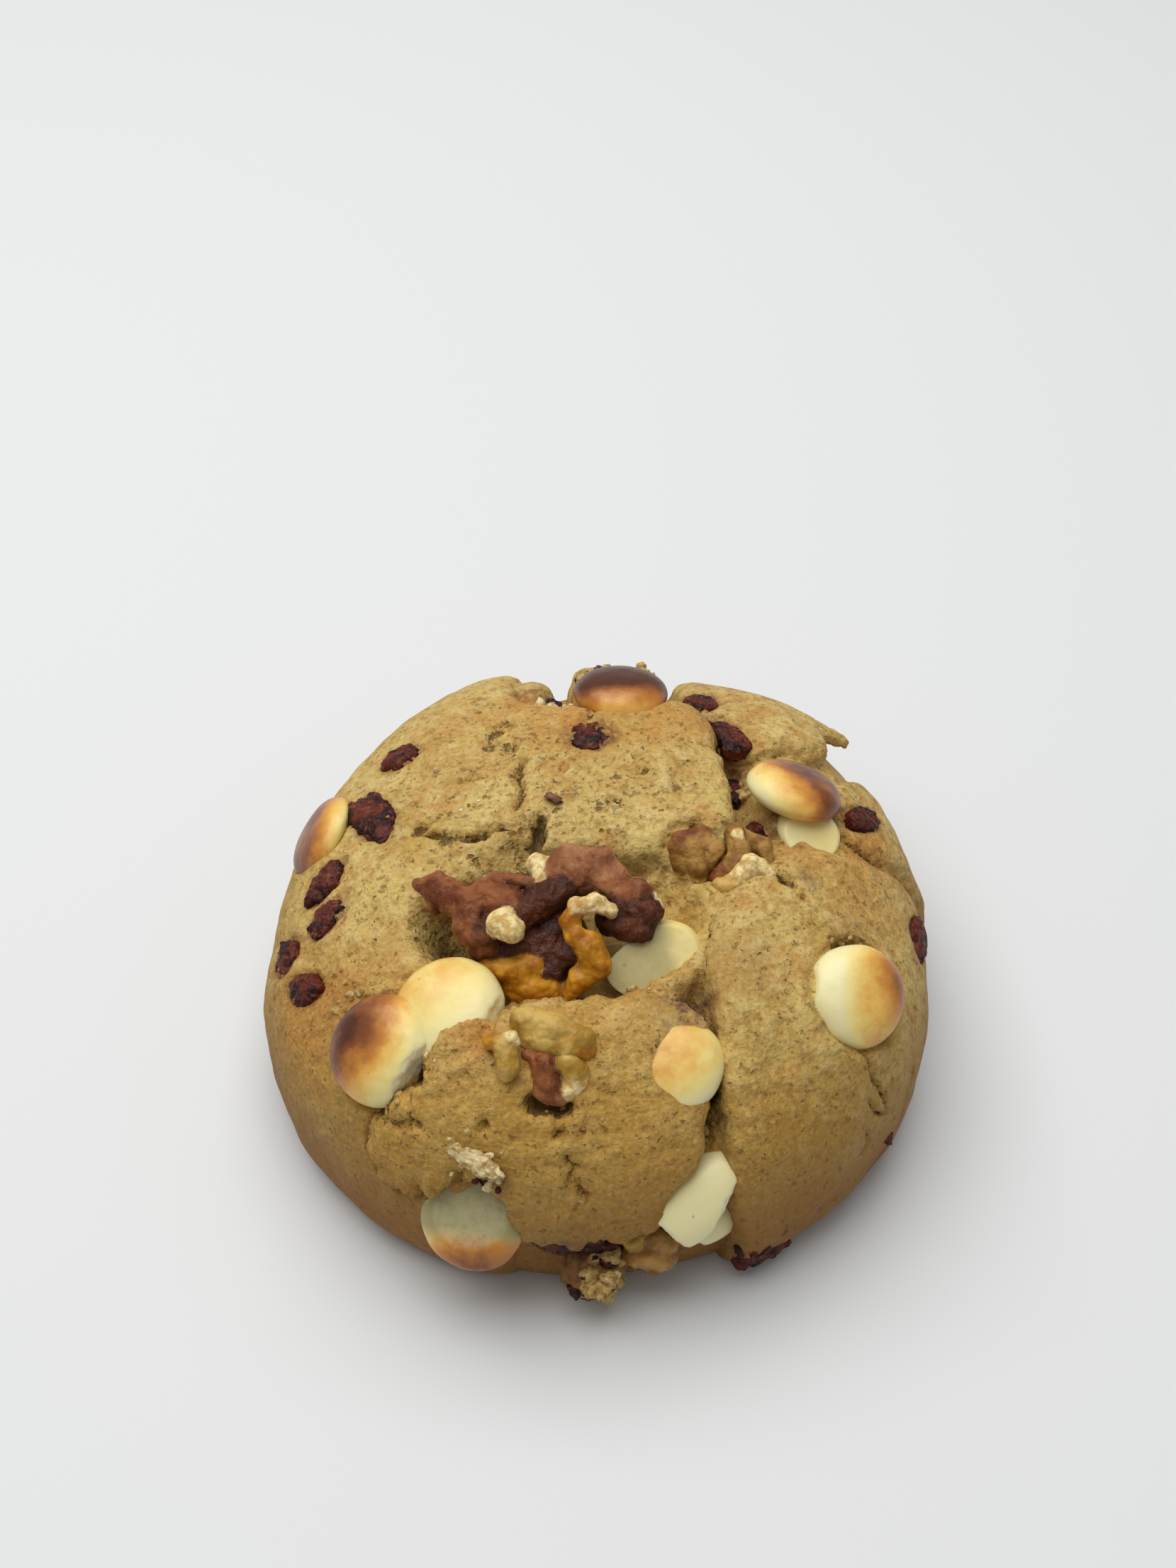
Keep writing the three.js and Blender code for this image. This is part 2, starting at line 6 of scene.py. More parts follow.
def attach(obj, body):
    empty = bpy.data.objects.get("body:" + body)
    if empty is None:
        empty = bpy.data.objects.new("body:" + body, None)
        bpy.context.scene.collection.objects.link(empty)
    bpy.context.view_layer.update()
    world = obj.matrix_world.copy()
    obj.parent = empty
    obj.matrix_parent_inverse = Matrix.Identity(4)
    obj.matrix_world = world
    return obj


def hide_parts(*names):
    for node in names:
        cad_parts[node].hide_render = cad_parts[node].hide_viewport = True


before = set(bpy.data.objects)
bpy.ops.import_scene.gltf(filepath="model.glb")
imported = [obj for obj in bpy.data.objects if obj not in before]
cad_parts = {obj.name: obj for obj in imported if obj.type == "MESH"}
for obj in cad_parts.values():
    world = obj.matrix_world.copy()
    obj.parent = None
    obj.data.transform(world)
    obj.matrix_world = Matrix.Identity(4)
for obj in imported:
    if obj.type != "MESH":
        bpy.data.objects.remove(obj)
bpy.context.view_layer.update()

# ---- Dough ----
# The body of the cookie: a scooped mound of spiced pumpkin dough. Its crust set first and split
# into lobes as the middle rose and sank, so it is made as a fine sheet wrapped over a plain mound,
# lifted by the lobes, cut by cracks and pitted where bubbles broke.

MM = 0.001  # sizes below are in millimetres, and meshes are in metres
MEAN_RADIUS = 46
CROWN_HEIGHT = 39
WIDEST_HEIGHT = 9.5
FOOT_RATIO = 0.93  # radius of the underside, over that of the widest level
DOME_POWER = 2.8  # 2 is a round dome, and more is squarer
MIDDLE = np.array([-0.8, 1.6])  # the mound's axis, from the middle of the whole cookie
# The outline seen from above: number of waves, swell, and turn in degrees.
OUTLINE_WAVES = [(1, 0.5, 82), (2, 0.7, 124), (3, 0.5, -101), (4, 0.3, -158), (5, 0.3, -123)]
PROFILE_STEPS = 400


def mound_profile():
    """The plain side from the crown to the foot: radius sin(t)^(2/power) and height cos(t)^(2/power)
    down to the widest level, then a quarter ellipse in to the foot. Returns way, radius, height."""
    t = np.linspace(0, np.pi / 2, PROFILE_STEPS)
    rise = CROWN_HEIGHT - WIDEST_HEIGHT
    radius = MEAN_RADIUS * np.sin(t) ** (2 / DOME_POWER)
    height = WIDEST_HEIGHT + rise * np.clip(np.cos(t), 0, 1) ** (2 / DOME_POWER)
    foot = t[1:]
    radius = np.append(radius, MEAN_RADIUS * (FOOT_RATIO + (1 - FOOT_RATIO) * np.cos(foot)))
    height = np.append(height, WIDEST_HEIGHT * (1 - np.sin(foot)))
    steps = np.hypot(np.diff(radius), np.diff(height))
    return np.append(0, np.cumsum(steps)), radius, height


WAY, RADIUS, HEIGHT = mound_profile()
SKIN_WAY = WAY[-1]  # from the crown to the edge of the underside
SLOPE_STEP = 0.3  # way from a place to each of the two points that give the slope there


def skin(place, lift):
    """Points on the plain mound over places [across, back], and the way out there. A place's length
    is the way down the profile from the crown, and its angle is the side, where the outline's waves
    scale the radius. The lift is along the way out, which is level below the widest level."""
    place = np.asarray(place, float)
    way = np.hypot(place[..., 0], place[..., 1])
    angle = np.arctan2(place[..., 1], place[..., 0])
    low, high = np.maximum(way - SLOPE_STEP, 0), way + SLOPE_STEP
    slope_r = np.interp(high, WAY, RADIUS) - np.interp(low, WAY, RADIUS)
    slope_z = np.interp(high, WAY, HEIGHT) - np.interp(low, WAY, HEIGHT)
    outline = MEAN_RADIUS + sum(
        swell * np.cos(count * angle - np.radians(turn)) for count, swell, turn in OUTLINE_WAVES
    )
    normal = np.stack(
        [-slope_z * np.cos(angle), -slope_z * np.sin(angle), np.maximum(slope_r, 0)], -1
    )
    normal /= np.linalg.norm(normal, axis=-1, keepdims=True) + 1e-12
    reach = np.interp(way, WAY, RADIUS) * outline / MEAN_RADIUS
    height = np.interp(way, WAY, HEIGHT)
    point = np.stack(
        [MIDDLE[0] + reach * np.cos(angle), MIDDLE[1] + reach * np.sin(angle), height], -1
    )
    return point + normal * np.asarray(lift)[..., None], normal


DIRECTIONS = 256  # fixed random directions that the corners of a noise's lattice share
FLAT_SLICE = 0.37  # height at which flat places cut the lattice
NOISE_GAIN = 1.6


def noise(points, size, seed):
    """Smooth noise from about -1 to 1. At each corner of a lattice of cells of that size a fixed
    random direction is dotted with the way to the point, and the corners are blended smoothly."""
    rng = np.random.default_rng(seed)
    order = rng.permutation(DIRECTIONS)
    directions = rng.normal(size=(DIRECTIONS, 3))
    directions /= np.linalg.norm(directions, axis=1, keepdims=True)
    p = np.asarray(points, float) / size
    if p.shape[-1] == 2:
        p = np.concatenate([p, np.full(p.shape[:-1] + (1,), FLAT_SLICE)], -1)
    corner = np.floor(p).astype(int)
    t = p - corner
    ease = t * t * t * (t * (t * 6 - 15) + 10)
    total = np.zeros(p.shape[:-1])
    last = DIRECTIONS - 1
    for dx in (0, 1):
        for dy in (0, 1):
            for dz in (0, 1):
                lattice = corner + (dx, dy, dz)
                pick = order[lattice[..., 0] & last]
                pick = order[(pick + lattice[..., 1]) & last]
                pick = order[(pick + lattice[..., 2]) & last]
                dot = (directions[pick] * (t - (dx, dy, dz))).sum(-1)
                weight = np.abs(1 - dx - ease[..., 0]) * np.abs(1 - dy - ease[..., 1])
                total += dot * weight * np.abs(1 - dz - ease[..., 2])
    return total * NOISE_GAIN


def layered(points, size, seed, count=3, share=0.5):
    """Noise in layers, each of half the size and a share of the strength of the one before."""
    total = 0
    for k in range(count):
        total = total + share**k * noise(points, size / 2**k, seed + k)
    return total


def smooth_step(x, low, high):
    """0 below low and 1 above high, easing in and out between them."""
    t = np.clip((x - low) / (high - low), 0, 1)
    return t * t * (3 - 2 * t)


def smooth_path(knots, closed, steps=8):
    """A curve through the knots, as points. Between each two knots it is a cubic, which leaves and
    arrives along slopes worked out from the knots on both sides, with each step timed as the square
    root of its length."""
    p = np.asarray(knots, float)
    if closed:
        p = np.vstack([p[-1], p, p[:2]])
    else:
        p = np.vstack([2 * p[0] - p[1], p, 2 * p[-1] - p[-2]])
    a, b, c, d = p[:-3, None], p[1:-2, None], p[2:-1, None], p[3:, None]
    ab, bc, cd = (np.linalg.norm(v, axis=-1, keepdims=True) ** 0.5 for v in (b - a, c - b, d - c))
    leave = ((b - a) / ab - (c - a) / (ab + bc) + (c - b) / bc) * bc
    arrive = ((c - b) / bc - (d - b) / (bc + cd) + (d - c) / cd) * bc
    t = np.linspace(0, 1, steps, endpoint=False)[None, :, None]
    curve = (
        b * (2 * t**3 - 3 * t**2 + 1)
        + leave * (t**3 - 2 * t**2 + t)
        + c * (3 * t**2 - 2 * t**3)
        + arrive * (t**3 - t**2)
    ).reshape(-1, 2)
    return np.vstack([curve, curve[:1] if closed else p[-2]])


def path_distance(path, places):
    """Distance from each place to a path of straight steps."""
    nearest = np.full(len(places), 1e9)
    for a, b in zip(path[:-1], path[1:]):
        step = b - a
        away = places - a
        t = np.clip((away @ step) / (step @ step + 1e-12), 0, 1)
        gap = away - t[:, None] * step
        nearest = np.minimum(nearest, (gap * gap).sum(1))
    return np.sqrt(nearest)


def distance_inside(path, places):
    """Distance inside a closed path, negative outside: a ray to the right crosses it an odd number
    of times from inside."""
    inside = np.zeros(len(places), bool)
    x, y = places.T
    for a, b in zip(path[:-1], path[1:]):
        if a[1] == b[1]:
            continue
        spans = (a[1] > y) != (b[1] > y)
        inside ^= spans & (x < a[0] + (b[0] - a[0]) * (y - a[1]) / (b[1] - a[1]))
    return path_distance(path, places) * np.where(inside, 1, -1)


# Lobes of risen crust: lift, its slope for each mm across and back, edge width, how ragged the edge
# is, how far its lip leans out over what is below it, and the outline in places.
LOBES = [
    dict(  # crown and the whole left side
        lift=0.7, slope=(0.05, 0.005), edge=5.5, ragged=0.6, lean=0.6,
        outline=[
            (-11, 29), (-6.5, 26), (3, 25), (13, 24.8), (15.8, 20.6), (16.4, 15), (18, 8.5),
            (19.3, 2.5), (18, -2), (9, -4.5), (-2, -3), (-9, -5), (-17, -7), (-20.5, -12),
            (-21, -19), (-20, -27), (-17, -33), (-16, -50), (-15, -62), (-30, -95), (-95, -70),
            (-95, 60), (-30, 95), (-12, 50),
        ],
    ),
    dict(  # right-hand lobe, down to the foot
        lift=0.8, slope=(-0.02, -0.045), edge=3.5, ragged=0.6, lean=0.7,
        outline=[
            (25.7, -1.5), (20.7, -5.7), (16.4, -10.7), (14.8, -17.3), (14.8, -24), (15.7, -30.7),
            (16.4, -37.3), (18, -44), (20.5, -51), (24, -58), (27, -66), (40, -95), (95, -60),
            (85, 6), (60, 4), (45.7, 2.3), (39.8, 1), (32.3, 0.2),
        ],
    ),
    dict(  # swelling of the left front, without a ledge
        lift=0.4, slope=(0.02, -0.027), edge=14, ragged=0, lean=0,
        outline=[
            (-18, -31), (-34, -22), (-48, -8), (-95, -10), (-60, -95), (-22, -95), (-17, -50),
        ],
    ),
    dict(  # front lobe, a ledge over the tier below it
        lift=2.0, slope=(-0.05, 0), edge=2.0, ragged=1.6, lean=1.4,
        outline=[
            (-17, -29.5), (-12, -29), (-6.8, -28.2), (-1, -25.7), (5.7, -25.3), (10.7, -26.5),
            (14, -31.5), (14.5, -39), (13, -45.7), (10.7, -50.7), (9.4, -55.7), (5.7, -57.3),
            (-1, -56.5), (-7.7, -56.5), (-12.7, -51.5), (-16, -46), (-24.3, -47.3), (-29.3, -44),
            (-29.3, -39.4), (-24.3, -36.5), (-21, -33),
        ],
    ),
    dict(  # thin plate at the back right, lower than the crown beside it
        lift=-4, slope=(0.17, 0), edge=1.8, ragged=0.9, lean=0.6,
        outline=[
            (10.5, 28), (15, 22), (19, 17), (25, 17.5), (30, 19), (33, 21.5), (33, 27), (36, 40),
            (42, 62), (30, 90), (14, 72), (12, 45),
        ],
    ),
    dict(  # low piece outside that plate, down to the foot
        lift=-3.6, slope=(0.085, 0), edge=3, ragged=0.6, lean=0.3,
        outline=[
            (24, 5), (33, 14), (38, 20), (45, 30), (60, 60), (95, 50), (80, 8), (46, 4.5), (34, 3),
        ],
    ),
    dict(  # lump that holds the rearmost chip
        lift=-0.4, slope=(0, 0), edge=3.5, ragged=0.8, lean=0.3,
        outline=[
            (-2.5, 27), (8, 27), (9, 36), (11, 60), (8, 80), (-6, 80), (-4.5, 50), (-3, 36),
        ],
    ),
    dict(  # broken lump that sticks out at the front foot
        lift=3.5, slope=(0, 0), edge=5, ragged=1.5, lean=0,
        outline=[(-5, -64), (-1, -62), (4, -63), (6, -69), (4, -90), (-6, -90), (-7, -70)],
    ),
]
SEAM_LIFT = -1.6
# The sunken middle, and the wide dish that the lobes dip into round it: an oval, the share of it
# that is level, and its lift.
HOLLOW = dict(at=(-4, -13.5), size=(19.5, 13.5), floor=0.78, lift=-6.2)
DISH = dict(at=(-2, -13), size=(29, 21), floor=0.5, lift=-1.4)
# Crevices between the lobes: half width, depth and route in places. They part the crown from the
# plate at the back right, the front lobe from the right one, the crown from the lump that holds the
# rearmost chip, and the front lobe from the tier at its left.
CREVICES = [
    (2.6, 4.4, [(15, 25), (18.5, 18), (20, 11), (21.5, 4), (22.5, -1)]),
    (1.5, 2.8, [(12.5, -25), (14.5, -32), (15.4, -40), (14.5, -48), (12, -56)]),
    (2.5, 1.4, [(-10, 29), (-4, 27), (3, 27.5), (10, 27)]),
    (1.0, 1.8, [
        (-19.5, -32), (-23, -35), (-28, -37.6), (-31, -40.5), (-31, -45), (-27, -48), (-22, -49),
    ]),
]
# Notches in the rear rim, one on each side of the rearmost chip: the same values.
NOTCHES = [
    (1.8, 5, [(-5, 30.5), (-5.5, 37), (-6, 50)]),
    (1.8, 5, [(10.3, 29.5), (11, 37), (12, 50)]),
]
FOOT_WAY = 9  # way above the table over which lobes fade
FOOT_SHARE = 0.4  # what is left of a lobe's lift at the table
RAGGED_WAVES = [(6.5, 1.0), (2.6, 0.75), (1.1, 0.35)]  # size and reach of each wave of an edge
RAGGED_SEEDS = (11, 31)  # across and back
CREVICE_RAGGED, NOTCH_RAGGED = 0.5, 0.6
LEAN_GAIN = 1.6  # pushes a lip out by up to 0.8 of its lobe's lean
TALL_LEDGE = 3  # height from which a ledge's lip leans out in full


def oval_reach(oval, places):
    """0 at an oval's middle and 1 on its edge."""
    return np.linalg.norm((places - oval["at"]) / oval["size"], axis=1)


def grooves(rows, places):
    """Rounded grooves: depth * exp(-(distance / half width)^2), summed."""
    total = np.zeros(len(places))
    for half_width, depth, route in rows:
        path = smooth_path(route, False)
        total += depth * np.exp(-((path_distance(path, places) / half_width) ** 2))
    return total


def crust(places):
    """The crust over each place: its lift is the highest of the seam floor and the lobes, each with
    a quarter-round edge. Also gives the push that leans a lobe's lip out over its seam, along the
    way that leads out of the lobe, and how far the place is down from the lobes' own level."""
    warp = np.stack(
        [
            sum(reach * noise(places, size, seed + k) for k, (size, reach) in enumerate(RAGGED_WAVES))
            for seed in RAGGED_SEEDS
        ],
        -1,
    )
    in_hollow = 1 - smooth_step(oval_reach(HOLLOW, places + warp), HOLLOW["floor"], 1)
    seam = SEAM_LIFT - grooves(CREVICES, places + CREVICE_RAGGED * warp)
    floor = seam + (HOLLOW["lift"] - seam) * in_hollow
    lift = floor.copy()
    top = floor.copy()
    push = np.zeros_like(places)
    step = 0.4
    for lobe in LOBES:
        path = smooth_path(lobe["outline"], True)
        moved = places + lobe["ragged"] * warp
        inside = distance_inside(path, moved)
        t = np.clip(inside / lobe["edge"], 0, 1)
        rounded = np.sqrt(1 - (1 - t) ** 2)
        full = lobe["lift"] + places @ np.array(lobe["slope"])
        height = floor + (full - floor) * rounded
        wins = height > lift
        lift = np.where(wins, height, lift)
        top = np.maximum(top, np.where(t > 0, full, floor))
        near = wins & (t < 1)
        if lobe["lean"] and near.any():
            ahead = [
                distance_inside(path, moved[near] + offset) - inside[near]
                for offset in ((step, 0), (0, step))
            ]
            out = -np.stack(ahead, -1) / step
            bulge = lobe["lean"] * rounded[near] * (1 - t[near]) * LEAN_GAIN
            tall = np.clip((full - floor)[near] / TALL_LEDGE, 0, 1)
            push[near] = out * (bulge * tall)[:, None]
    in_dish = 1 - smooth_step(oval_reach(DISH, places), DISH["floor"], 1)
    lift += DISH["lift"] * in_dish * np.clip(lift - floor, 0, 1)
    lift -= grooves(NOTCHES, places + NOTCH_RAGGED * warp)
    above_foot = smooth_step(SKIN_WAY - np.hypot(*places.T), 0, FOOT_WAY)
    share = FOOT_SHARE + (1 - FOOT_SHARE) * above_foot
    return lift * share, push * share[:, None], np.clip(top - lift, 0, None)


SHEET = 300  # squares across the sheet
CENTRE_SHARE = 0.88  # size of the middle squares, over the mean
RASTER_STEP = 0.45  # between the samples of the crust that guide the sheet
RELAX_ROUNDS = 70
RELAX_SHARE = 0.6  # of the way to the neighbours' mean, each round
PIT_PULL = 1.5  # how deep a pit counts here, over its real depth


def sheet_places(count):
    """The sheet's square wrapped into a disc: rings of squares become rings round the crown."""
    u, v = np.meshgrid(np.linspace(-1, 1, count + 1), np.linspace(-1, 1, count + 1))
    ring = np.maximum(np.abs(u), np.abs(v))
    across = np.abs(u) >= np.abs(v)
    with np.errstate(divide="ignore", invalid="ignore"):
        side = np.pi / 4 * np.where(across, v / u, u / v)
    angle = np.where(across, side + np.pi * (u < 0), np.pi / 2 - side + np.pi * (v < 0))
    angle[ring == 0] = 0
    way = SKIN_WAY * ring * (CENTRE_SHARE + (1 - CENTRE_SHARE) * ring**2)
    return np.stack([way * np.cos(angle), way * np.sin(angle)], -1)


def crowd_on_steps(places):
    """Draws the sheet's rows together where the crust is steep: each place moves to the mean of its
    four neighbours, weighted by the length of the edge to each over the crust."""
    half = int(SKIN_WAY / RASTER_STEP) + 3
    ticks = RASTER_STEP * np.arange(-half, half + 1)
    raster = np.stack(np.meshgrid(ticks, ticks), -1).reshape(-1, 2)
    lifts = crust(raster)[0] - PIT_PULL * dents(PITS, raster) - grooves(CRACKS, raster)
    lifts = lifts.reshape(len(ticks), -1)
    for _ in range(RELAX_ROUNDS):
        cell = np.clip(places / RASTER_STEP + half, 0, 2 * half - 1.001)
        low = cell.astype(int)
        t = cell - low
        i, j = low[..., 1], low[..., 0]
        lift = (
            lifts[i, j] * (1 - t[..., 0]) * (1 - t[..., 1])
            + lifts[i, j + 1] * t[..., 0] * (1 - t[..., 1])
            + lifts[i + 1, j] * (1 - t[..., 0]) * t[..., 1]
            + lifts[i + 1, j + 1] * t[..., 0] * t[..., 1]
        )
        surface = np.concatenate([places, lift[..., None]], -1)
        down = np.linalg.norm(np.diff(surface, axis=0), axis=-1)[:, 1:-1]
        right = np.linalg.norm(np.diff(surface, axis=1), axis=-1)[1:-1]
        weights = [down[:-1], down[1:], right[:, :-1], right[:, 1:]]
        near = [places[:-2, 1:-1], places[2:, 1:-1], places[1:-1, :-2], places[1:-1, 2:]]
        moved = sum(w[..., None] * p for w, p in zip(weights, near)) / sum(weights)[..., None]
        places = places.copy()
        places[1:-1, 1:-1] += RELAX_SHARE * (moved - places[1:-1, 1:-1])
    return places


def grid_normals(points):
    """Normals of a grid surface, from the steps across and along it."""
    normal = np.cross(np.gradient(points, axis=1), np.gradient(points, axis=0))
    return normal / (np.linalg.norm(normal, axis=-1, keepdims=True) + 1e-12)


def add_piece(name, points, faces, body="root"):
    """A smooth-shaded mesh from points in millimetres and faces, riding on the part's body."""
    mesh = bpy.data.meshes.new(name)
    faces = [np.asarray(f) for f in (faces if isinstance(faces, list) else [faces])]
    sizes = np.concatenate([np.full(len(f), f.shape[1]) for f in faces])
    corners = np.concatenate([f.reshape(-1) for f in faces]).astype(np.int32)
    mesh.vertices.add(len(points))
    mesh.vertices.foreach_set("co", (np.asarray(points) * MM).astype(np.float32).ravel())
    mesh.loops.add(len(corners))
    mesh.loops.foreach_set("vertex_index", corners)
    mesh.polygons.add(len(sizes))
    mesh.polygons.foreach_set("loop_start", np.append(0, np.cumsum(sizes)[:-1]).astype(np.int32))
    mesh.update(calc_edges=True)
    mesh.validate()
    mesh.shade_smooth()
    piece = bpy.data.objects.new(name, mesh)
    bpy.context.scene.collection.objects.link(piece)
    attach(piece, body)
    return piece


def set_attribute(piece, name, values):
    """One number at each vertex, for the material to read."""
    layer = piece.data.attributes.new(name, "FLOAT", "POINT")
    layer.data.foreach_set("value", np.asarray(values, np.float32).ravel())


def grid_faces(rows, columns, wrap=False):
    """Quads of a grid of points, joined across its two ends where it wraps."""
    row, column = np.meshgrid(
        np.arange(rows - 1), np.arange(columns if wrap else columns - 1), indexing="ij"
    )
    a = row * columns + column
    b = row * columns + (column + 1) % columns
    return np.stack([a, b, b + columns, a + columns], -1).reshape(-1, 4)


def spots(rows, places):
    """Soft round spots: strength * exp(-(distance / radius)^2) for each (across, back, radius,
    strength), summed."""
    total = np.zeros(len(places))
    for across, back, radius, strength in rows:
        away = np.hypot(places[:, 0] - across, places[:, 1] - back)
        total += strength * np.exp(-((away / radius) ** 2))
    return total


# Pits where bubbles broke and the crust tore: across, back, half sizes, turn in degrees, and depth. Their
# depth is also painted into the crumb's colour as shade.
PITS = [
    (-13.7, 19.2, 1.7, 1.0, 30, 1.3), (-11.9, 20.4, 1.2, 0.8, 0, 1.1), (-14.2, 16.3, 1.5, 1.0, -20, 1.2),
    (-11.5, 15.6, 1.1, 1.4, 10, 1.1), (-23.5, 1.9, 1.1, 0.7, 10, 1.2), (-21.6, 0.7, 1.2, 0.6, -20, 1.3),
    (-19.9, -0.3, 1.1, 0.7, 0, 1.2), (-18.1, 0.2, 0.8, 0.6, 0, 1.0), (-16.1, -0.5, 1.6, 0.6, 5, 1.5),
    (-14.2, 0.1, 0.8, 0.6, 40, 1.2), (-12.2, 1.0, 0.8, 0.7, 0, 1.2), (-7.4, 0.4, 1.0, 2.4, -10, 3.0),
    (-5.6, -38.9, 2.8, 1.3, -8, 3.2), (-0.6, 20.5, 1.0, 0.8, 0, 1.6),
    (24.6, -7.5, 1.4, 0.8, -30, 1.9), (26.6, -9.8, 0.6, 0.5, 0, 0.9),
    (-13.5, -40.3, 0.7, 0.6, 0, 1.3), (-4.4, -42.4, 0.7, 0.6, 0, 1.2), (-21.7, -34.2, 0.9, 1.3, 0, 2.2),
    (15, -39.1, 1.0, 1.4, 0, 2.2), (16, -44.7, 0.8, 1.8, 0, 1.6),
    (-31.5, -26, 1.3, 0.6, 40, 1.0), (-33.4, -24.2, 1.0, 0.5, 60, 0.9), (-29.4, -23, 0.9, 0.6, 10, 0.9),
    (5.5, 12, 0.7, 0.5, 0, 0.9), (6.2, 9.1, 0.9, 0.6, 20, 1.0),
    (10.4, 6.2, 0.7, 0.6, 0, 0.9), (13, 0.4, 1.0, 0.6, 0, 1.0), (2.6, 4.1, 0.7, 0.5, 0, 0.9),
    (-17, 10, 0.8, 0.5, 50, 0.8), (-22, 12, 0.9, 0.5, 60, 0.9), (-4.1, 9.8, 0.6, 0.5, 0, 0.8),
]
# Larger hollows, painted as shade only a little darker than the crumb round them.
SUNK = [
    (-9.9, -2.5, 2.6, 1.4, 0, 2.2), (34.4, -16, 4.0, 1.5, -5, 3.0),
    (13.7, -24.6, 1.5, 2.8, 0, 2.6), (-18.8, -15.5, 3.4, 5.8, 18, 5.5), (15.6, -3.6, 5.5, 3.4, 0, 1.6),
]
# Cracks: half width, depth and route. Their depth is painted into the colour as shade too, and the one round
# the front lobe's left foot mainly paints a line of shade.
CRACKS = [
    (0.75, 3.2, [(14, -28.5), (15.3, -35), (15.8, -39), (15.4, -43), (13.4, -47.5), (10.8, -52)]),
    (0.4, 0.9, [(-3.6, -45), (-2.6, -46.2), (-3.4, -47.4), (-2.2, -48.6), (-1.2, -50)]),
    (0.55, 1.3, [(34, 4.4), (37, 3.8), (40.5, 3.2), (44.5, 2.8)]),
    (0.35, 1.0, [(39.1, -34.3), (40.4, -34.8), (41.5, -35.3), (43.2, -35)]),
    (0.35, 1.1, [(34.5, -28.7), (36.2, -29.6), (37.3, -30.9), (40.5, -32.4), (44.9, -34.4)]),
    (0.3, 0.6, [(41, -38), (42.4, -39.4), (42, -41)]),
    (0.4, 0.5, [(-24.8, 1.4), (-21.6, 0.7), (-18, 0), (-14.2, 0.1), (-11, 0.9)]),
    (0.5, 1.5, [(-9.4, 12.2), (-10.3, 9.5), (-9.7, 7), (-10.6, 4.2)]),
    (0.5, 1.1, [(-29.5, -37.5), (-25.5, -38.5), (-21.5, -39)]),
    (0.6, 1.3, [
        (-20, -33.5), (-24, -36.2), (-28.6, -38), (-31.4, -41), (-31.2, -45), (-27, -48.2),
        (-21.5, -49),
    ]),
    (0.4, 0.8, [(-24, -21), (-23.5, -24), (-24.4, -27)]),
    (0.4, 0.5, [(49.7, -26.3), (51.3, -35.1), (49.7, -44.4), (40.6, -58.6)]),
]
# The dough's seat round each proud chip and nut, and round each piece of fruit: across, back, half
# sizes and turn.
SEATS = [
    (-26.7, -30.1, 6.8, 6.8, 0), (-18.2, -26.2, 6.7, 6.7, 0), (33.4, -22, 6.5, 6.5, 0),
    (27.4, 8.6, 6, 6, 0), (3.6, 27.3, 6.4, 6.4, 0), (-18.3, -53.5, 6.4, 6.4, 0),
    (-40.9, 8.4, 5.6, 5.6, 0), (12.2, -3, 3, 3.2, 0), (18.2, -2.6, 3.2, 3.2, 0),
]
FRUIT_SEATS = [
    (-0.5, 16.3, 3.0, 2.5, 0), (-27.9, 18.6, 2.7, 2.5, 20), (-31, 6.6, 4.9, 2.7, -58),
    (-37.7, -2.8, 3.5, 2.1, 40), (-36.3, -9, 3.0, 1.9, 35), (-44.6, -12, 2.8, 2.1, 60),
    (-40.2, -18.4, 3.0, 2.1, -20), (-7.6, 30.6, 3.7, 2.7, -40), (14.9, 28.4, 3.3, 2.1, 60),
    (17.8, 20.2, 3.8, 2.1, -55), (19.7, 13.6, 2.6, 1.8, 80), (22.8, 4, 3.1, 2.3, 30),
    (38.9, 9.9, 3.6, 2.0, 35), (48.6, -7.2, 3.3, 2.4, 70), (-4, -62, 4.9, 2.5, 0),
]


def oval_distance(rows, places):
    """Distance outside the nearest of several ovals, negative inside."""
    nearest = np.full(len(places), 1e9)
    for across, back, half_across, half_back, turn in rows:
        cos, sin = np.cos(np.radians(turn)), np.sin(np.radians(turn))
        away = (places - (across, back)) @ np.array([[cos, -sin], [sin, cos]])
        reach = np.linalg.norm(away / (half_across, half_back), axis=1)
        nearest = np.minimum(nearest, (reach - 1) * min(half_across, half_back))
    return nearest


def dents(rows, places):
    """Depth of pits with steep sides: depth * exp(-(reach from the middle)^4), the deepest wins."""
    total = np.zeros(len(places))
    for *oval, depth in rows:
        reach = oval_distance([oval], places) / min(oval[2:4]) + 1
        total = np.maximum(total, depth * np.exp(-(reach**4)))
    return total


# Where the crumb is open and porous, toasted, torn rough, golden with some painted shade, and stained
# by fruit: across, back, radius and strength.
PORE_ZONES = [
    (-8, 2, 9, 0.6), (-9, 16, 6, 0.45), (5, 5, 11, 0.5), (-19, 1, 7, 0.45), (-23, -12, 8, 0.5),
    (25, -20, 10, 0.3), (0, -42, 10, 0.2), (-31, -26, 5, 0.5),
]
TOAST = [
    (0, 24, 8, 1.0), (-9, 24, 6, 0.7), (13, 20, 6, 0.8), (-2, 17, 5, 0.5), (-22, 20, 8, 0.5),
    (26, -2, 5, 0.8), (36, -3, 7, 0.6), (-13.5, -30.5, 3.5, 1.0), (-34, -24, 6, 1.5),
    (-38, -22, 5, 1.0), (-6, 26, 5, 0.6), (38, 2.2, 3, 1.0), (42.5, 1.8, 3, 1.0), (40, 6, 4, 0.8),
    (20, 30, 8, 0.3), (4, -28, 6, 0.4), (8, -50, 8, 0.3),
]
ROUGH_ZONES = [
    (-17, 0, 9, 0.6), (-32, -25, 5, 1.0), (-26, -38, 6, 0.8), (13, 2, 8, 0.5), (22, 12, 5, 0.7),
    (15, -42, 4, 0.8), (0, -60, 9, 0.8), (-12, -47, 4, 0.8), (-31, 2, 5, 0.5),
]
